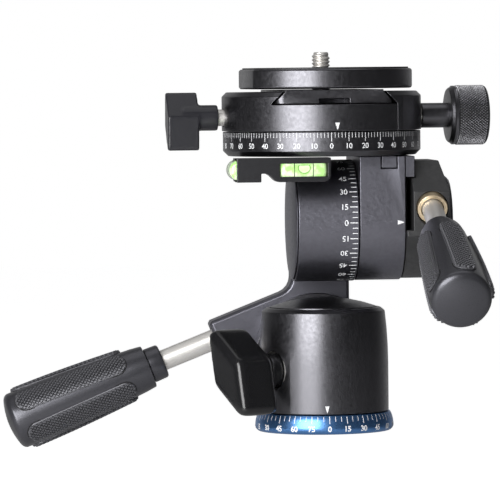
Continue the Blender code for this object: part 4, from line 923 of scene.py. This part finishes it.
def knurl():
    """Two crossing sets of grooves leave a lattice of small cut pyramids."""
    work = bmesh.new()
    step = math.tau / KNURL_COUNT
    rows = int((KNURL_END - KNURL_START) / KNURL_PITCH * 2)
    pitch = (KNURL_END - KNURL_START) / rows
    for row in range(1, rows):
        z = KNURL_START + row * pitch
        for k in range(KNURL_COUNT):
            angle = (k + (0.5 if row % 2 else 0)) * step
            foot, peak = (
                [
                    work.verts.new(on_cylinder(
                        radius, angle + step * u / 2 * share, z + pitch * v * share,
                    ))
                    for u, v in DIAMOND_CORNERS
                ]
                for radius, share in ((KNURL_ROOT, KNURL_FOOT), (KNURL_CREST, KNURL_PEAK))
            )
            add_band(work, foot, peak)
            work.faces.new(peak)
    return work


def on_cylinder(radius, angle, z):
    return Vector((radius * math.cos(angle), radius * math.sin(angle), z)) * MM


# Camera stud with a real thread


def make_stud():
    """The thread winds up the core as one strip and fades out in its last half turn."""
    sides = 48
    length = STUD_TOP - THREAD_START - THREAD_PITCH * 0.5 - 0.1
    steps = int(length / THREAD_PITCH * sides)
    work = bmesh.new()
    rows = []
    for k in range(steps + 1):
        fade = min(1.0, (steps - k) / (sides * 0.5))
        crest = THREAD_ROOT + (THREAD_CREST - THREAD_ROOT) * fade
        angle = math.tau * k / sides
        z = THREAD_START + THREAD_PITCH * k / sides
        rows.append([
            work.verts.new(on_cylinder(radius, angle, z + THREAD_PITCH * share))
            for radius, share in (
                (THREAD_ROOT, -0.5), (crest, -0.08), (crest, 0.08), (THREAD_ROOT, 0.5),
            )
        ])
    for low, high in zip(rows, rows[1:]):
        for k in range(3):
            work.faces.new((low[k], high[k], high[k + 1], low[k + 1]))
    join(work, turned([
        (0, 116.5), (7.0, 116.5), (7.0, 118.9), (3.1, 118.9), (3.1, 127.4), (THREAD_ROOT, 127.6),
        (THREAD_ROOT, STUD_TOP - 0.35), (THREAD_ROOT - 0.35, STUD_TOP), (0, STUD_TOP),
    ], sides))
    moved(work, Matrix.Rotation(CLAMP_PAN_REST, 4, "Z"))
    piece("camera_screw_skin", to_mesh("camera_screw_skin", work, 28), "camera_stud", "steel",
          replaced=["camera_screw"])


# Vials


def make_vial(name, node, line):
    """A barrel vial, which is its liquid behind clear acrylic, and two level rings."""
    half = VIAL_LENGTH / 2
    steps = 6
    end = []
    for k in range(steps + 1):
        angle = math.pi / 2 * k / steps
        radius = VIAL_RADIUS - VIAL_ROUND * (1 - math.sin(angle))
        end.append((radius, half - VIAL_ROUND * (1 - math.cos(angle))))
    profile = [(0, -half)] + [(r, -z) for r, z in end] + [(r, z) for r, z in reversed(end)]
    work = moved(turned(profile + [(0, half)], 64), line)
    piece(name + "_skin", to_mesh(name + "_skin", work), "tilt_frame", "vial", replaced=[node])
    inner, outer = VIAL_RADIUS - 0.1, VIAL_RADIUS + 0.02
    rings = bmesh.new()
    for middle in (-LEVEL_RING_PLACE, LEVEL_RING_PLACE):
        low, high = middle - LEVEL_RING_HALF, middle + LEVEL_RING_HALF
        ring = ((inner, low), (outer, low), (outer, high), (inner, high))
        join(rings, turned(ring, 64, close=True))
    moved(rings, line)
    piece(name + "_rings", to_mesh(name + "_rings", rings), "tilt_frame", "dark_gap")


def on_glass(share, angle, lift):
    """A point of the bubble's outline, or of a smaller copy of it, on the vial's wall."""
    x = share * min(BUBBLE_WIDTH * math.cos(angle), BUBBLE_FLAT)
    y = lift - VIAL_RADIUS + math.sqrt(VIAL_RADIUS ** 2 - x ** 2)
    return Vector((x, y, BUBBLE_LENGTH * share * math.sin(angle)))


def make_bubble(name, line, towards):
    """A bubble on the side of the vial that is seen, flat on top, with its dark edge, a ring of
    painted shade where the bubble's outline bends the light away.
    """
    spot = line @ Matrix.Rotation(towards, 4, "Z")
    spot = spot @ Matrix.Translation((0, VIAL_RADIUS * MM, BUBBLE_DRIFT * MM))
    count = 48
    turns = [math.tau * k / count for k in range(count)]
    work = bmesh.new()
    rings = [
        [work.verts.new(on_glass(share, turn, 0.05) * MM) for turn in turns]
        for share in (1.0, 0.8, 0.6, 0.4, 0.2)
    ]
    for outer, inner in zip(rings, rings[1:]):
        add_band(work, outer, inner)
    work.faces.new(rings[-1])
    piece(name, to_mesh(name, moved(work, spot)), "tilt_frame", "bubble")
    # The dark rim round the bubble is painted shade.
    work = bmesh.new()
    loops = []
    for turn in turns:
        middle = on_glass(1.0, turn, 0.03)
        out = Vector((middle.x, 0, middle.z)).normalized()
        loops.append([
            work.verts.new((middle + BUBBLE_RIM * (out * math.cos(a) + Y_AXIS * math.sin(a))) * MM)
            for a in (math.tau * n / 6 for n in range(6))
        ])
    for low, high in zip(loops, loops[1:] + loops[:1]):
        add_band(work, low, high)
    rim = name + "_rim"
    piece(rim, to_mesh(rim, moved(work, spot)), "tilt_frame", "bubble_rim")


def make_levels():
    """Two vials on the level holder. Each bubble is turned to where it is seen from the front."""
    front = along(X_AXIS, FRONT_VIAL_PLACE)
    side = along(Y_AXIS, SIDE_VIAL_PLACE)
    make_vial("front_vial", "level_vial_front", front)
    make_vial("side_vial", "level_vial_side", side)
    make_bubble("front_bubble", front, towards=math.radians(80))
    make_bubble("side_bubble", side, towards=math.radians(20))


# Everything else keeps its solid's shape: its look, and the round on its edges in millimetres

SKINS = {
    "pan_spindle": ("steel", 0.2),
    "spindle_retainer": ("steel", 0),
    "retainer_screw": ("steel", 0),
    "pan_barrel": ("black_anodised", 0.3),
    "barrel_dome": ("black_anodised", 0),
    "pan_bush": ("brass", 0),
    "pan_lock_pad": ("nylon", 0),
    "roll_axle": ("steel", 0.2),
    "roll_axle_nut": ("steel", 0.3),
    "pan_lock_screw": ("steel", 0),
    "roll_yoke": ("violet_black", 0.35),
    "roll_washer": ("nylon", 0),
    "tilt_axle": ("steel", 0),
    "tilt_washer": ("nylon", 0),
    "tilt_end_cap": ("violet_black", 0),
    "tilt_bracket": ("violet_black", 0.3),
    "bracket_key": ("violet_black", 0.15),
    "dial_pin_front": ("steel", 0),
    "dial_pin_back": ("steel", 0),
    "tilt_lock_block": ("cast_black", 0.35),
    "handle_bush": ("brass", 0.2),
    "axle_cap": ("black_anodised", 0.2),
    "pan_dial": ("black_anodised", 0.15),
    "top_spindle": ("steel", 0),
    "level_holder": ("black_plastic", 0.3),
    "jaw_guide_pin_front": ("steel", 0),
    "jaw_guide_pin_back": ("steel", 0),
    "top_lock_pad": ("brass", 0),
    "top_lock_screw": ("steel", 0.2),
    "clamp_jaw": ("black_anodised", 0.25),
    "clamp_screw": ("steel", 0),
    "camera_plate": ("black_anodised", 0.3),
    "plate_foot": ("black_anodised", 0.2),
    "plate_mat": ("mat_rubber", 0.15),
}


# Stage, light and camera


FLOOR_HEIGHT = -0.115
FLOOR_HALF = 4
FLOOR_GLOW = 0.93
ROOM_LIGHT = 0.064
ROOM_COLOUR = (0.97, 0.97, 1.0, 1)
WHITE = (1, 1, 1, 1)
MIRRORED_SHARE = 0.42

# Where the backdrop starts and is full, in metres on the floor and as a direction in the world
FLOOR_BACKDROP = (0.35, 1.3)
WORLD_BACKDROP = (0.45, 1.0)


def combined(tree, operation, first, second):
    """A Math node of two inputs, the second of which may be a number."""
    made = tree.nodes.new("ShaderNodeMath")
    made.operation = operation
    tree.links.new(first, made.inputs[0])
    if isinstance(second, float):
        made.inputs[1].default_value = second
    else:
        tree.links.new(second, made.inputs[1])
    return made.outputs["Value"]


def backdrop_share(tree, place, start, end):
    """1 to the camera, and MIRRORED_SHARE behind the object as metal and glass show it."""
    split = tree.nodes.new("ShaderNodeSeparateXYZ")
    tree.links.new(place, split.inputs["Vector"])
    behind = tree.nodes.new("ShaderNodeMapRange")
    behind.interpolation_type = "SMOOTHSTEP"
    behind.inputs["From Min"].default_value = start
    behind.inputs["From Max"].default_value = end
    tree.links.new(split.outputs["Y"], behind.inputs["Value"])
    rays = tree.nodes.new("ShaderNodeLightPath").outputs
    mirrored = combined(tree, "MAXIMUM", rays["Is Glossy Ray"], rays["Is Transmission Ray"])
    dimmed = combined(tree, "MULTIPLY", behind.outputs["Result"], MIRRORED_SHARE)
    back = combined(tree, "MULTIPLY", mirrored, dimmed)
    return combined(tree, "MAXIMUM", rays["Is Camera Ray"], back)


def make_stage():
    """A pale floor, well below the object so that the handles clear it at every pose."""
    mesh = bpy.data.meshes.new("floor")
    corners = ((-1, -1), (1, -1), (1, 1), (-1, 1))
    places = [(x * FLOOR_HALF, y * FLOOR_HALF, FLOOR_HEIGHT) for x, y in corners]
    mesh.from_pydata(places, [], [(0, 1, 2, 3)])
    floor = bpy.data.objects.new("floor", mesh)
    bpy.context.scene.collection.objects.link(floor)
    made = Shader("floor_paper", (0.90, 0.90, 0.90), 0.9, Emission_Color=WHITE)
    made.drive("Base Color", made.colours(made.noise(6, 3), (0.89, 0.89, 0.89), (0.91, 0.91, 0.91)))
    share = backdrop_share(made.tree, made.place(), *FLOOR_BACKDROP)
    made.drive("Emission Strength", made.spread(share, 0.0, FLOOR_GLOW, 0.0, 1.0))
    mesh.materials.append(made.material)


def make_world():
    """White behind the object and to the camera, and a dim room in front."""
    world = bpy.data.worlds.new("studio")
    bpy.context.scene.world = world
    world.use_nodes = True
    tree = world.node_tree
    room = tree.nodes["Background"]
    room.inputs["Color"].default_value = ROOM_COLOUR
    room.inputs["Strength"].default_value = ROOM_LIGHT
    white = tree.nodes.new("ShaderNodeBackground")
    white.inputs["Color"].default_value = WHITE
    white.inputs["Strength"].default_value = 1.0
    direction = tree.nodes.new("ShaderNodeTexCoord").outputs["Generated"]
    mix = tree.nodes.new("ShaderNodeMixShader")
    tree.links.new(backdrop_share(tree, direction, *WORLD_BACKDROP), mix.inputs["Fac"])
    tree.links.new(room.outputs["Background"], mix.inputs[1])
    tree.links.new(white.outputs["Background"], mix.inputs[2])
    tree.links.new(mix.outputs["Shader"], tree.nodes["World Output"].inputs["Surface"])


LAMP_AIM = Vector((0, 0, 0.07))


def softbox(name, place, size, power):
    data = bpy.data.lights.new(name, "AREA")
    data.shape = "RECTANGLE"
    data.size, data.size_y = size
    data.energy = power
    lamp = bpy.data.objects.new(name, data)
    bpy.context.scene.collection.objects.link(lamp)
    lamp.location = place
    lamp.rotation_euler = (LAMP_AIM - Vector(place)).to_track_quat("-Z", "Y").to_euler()


def make_lights():
    softbox("key", place=(-0.50, -0.78, 0.27), size=(0.66, 0.62), power=12.0)
    softbox("overhead", place=(0.0, 0.05, 0.95), size=(0.9, 0.7), power=1.5)


# The camera's place round the base's centre, and the pixel of the photograph that it falls on
AZIMUTH = math.radians(-5.2)
ELEVATION = math.radians(2.28)
ROLL = math.radians(0.6)
FOCAL_PIXELS = 4405
PHOTO_PIXELS = 500
DISTANCE = 1.5645
BASE_PIXEL = (324.4, 429.5)
SENSOR_WIDTH = 36


def make_camera():
    """A long lens from the photograph's side. The base's centre falls on its own pixel."""
    back = Vector((
        math.sin(AZIMUTH) * math.cos(ELEVATION),
        -math.cos(AZIMUTH) * math.cos(ELEVATION),
        math.sin(ELEVATION),
    ))
    level = Vector((math.cos(AZIMUTH), math.sin(AZIMUTH), 0))
    upright = back.cross(level)
    right = level * math.cos(ROLL) - upright * math.sin(ROLL)
    up = level * math.sin(ROLL) + upright * math.cos(ROLL)
    across = (BASE_PIXEL[0] - PHOTO_PIXELS / 2) / FOCAL_PIXELS * DISTANCE
    down = (BASE_PIXEL[1] - PHOTO_PIXELS / 2) / FOCAL_PIXELS * DISTANCE
    data = bpy.data.cameras.new("camera")
    data.sensor_width = SENSOR_WIDTH
    data.lens = FOCAL_PIXELS / PHOTO_PIXELS * SENSOR_WIDTH
    data.clip_start = 0.05
    camera = bpy.data.objects.new("camera", data)
    bpy.context.scene.collection.objects.link(camera)
    turn = Matrix((right, up, back)).transposed().to_4x4()
    camera.matrix_world = Matrix.Translation(back * DISTANCE - right * across + up * down) @ turn
    bpy.context.scene.camera = camera


def main():
    bpy.context.scene.view_settings.view_transform = "Standard"
    for node, (look, edge) in SKINS.items():
        dress(node, look, edge)
    make_clamp_body()
    make_base_ring()
    make_pan_scale()
    make_tilt_scale()
    make_pointers()
    make_handles()
    make_wing_knobs()
    make_knob_seat()
    make_clamp_knob()
    make_stud()
    make_levels()
    make_stage()
    make_world()
    make_lights()
    make_camera()


main()
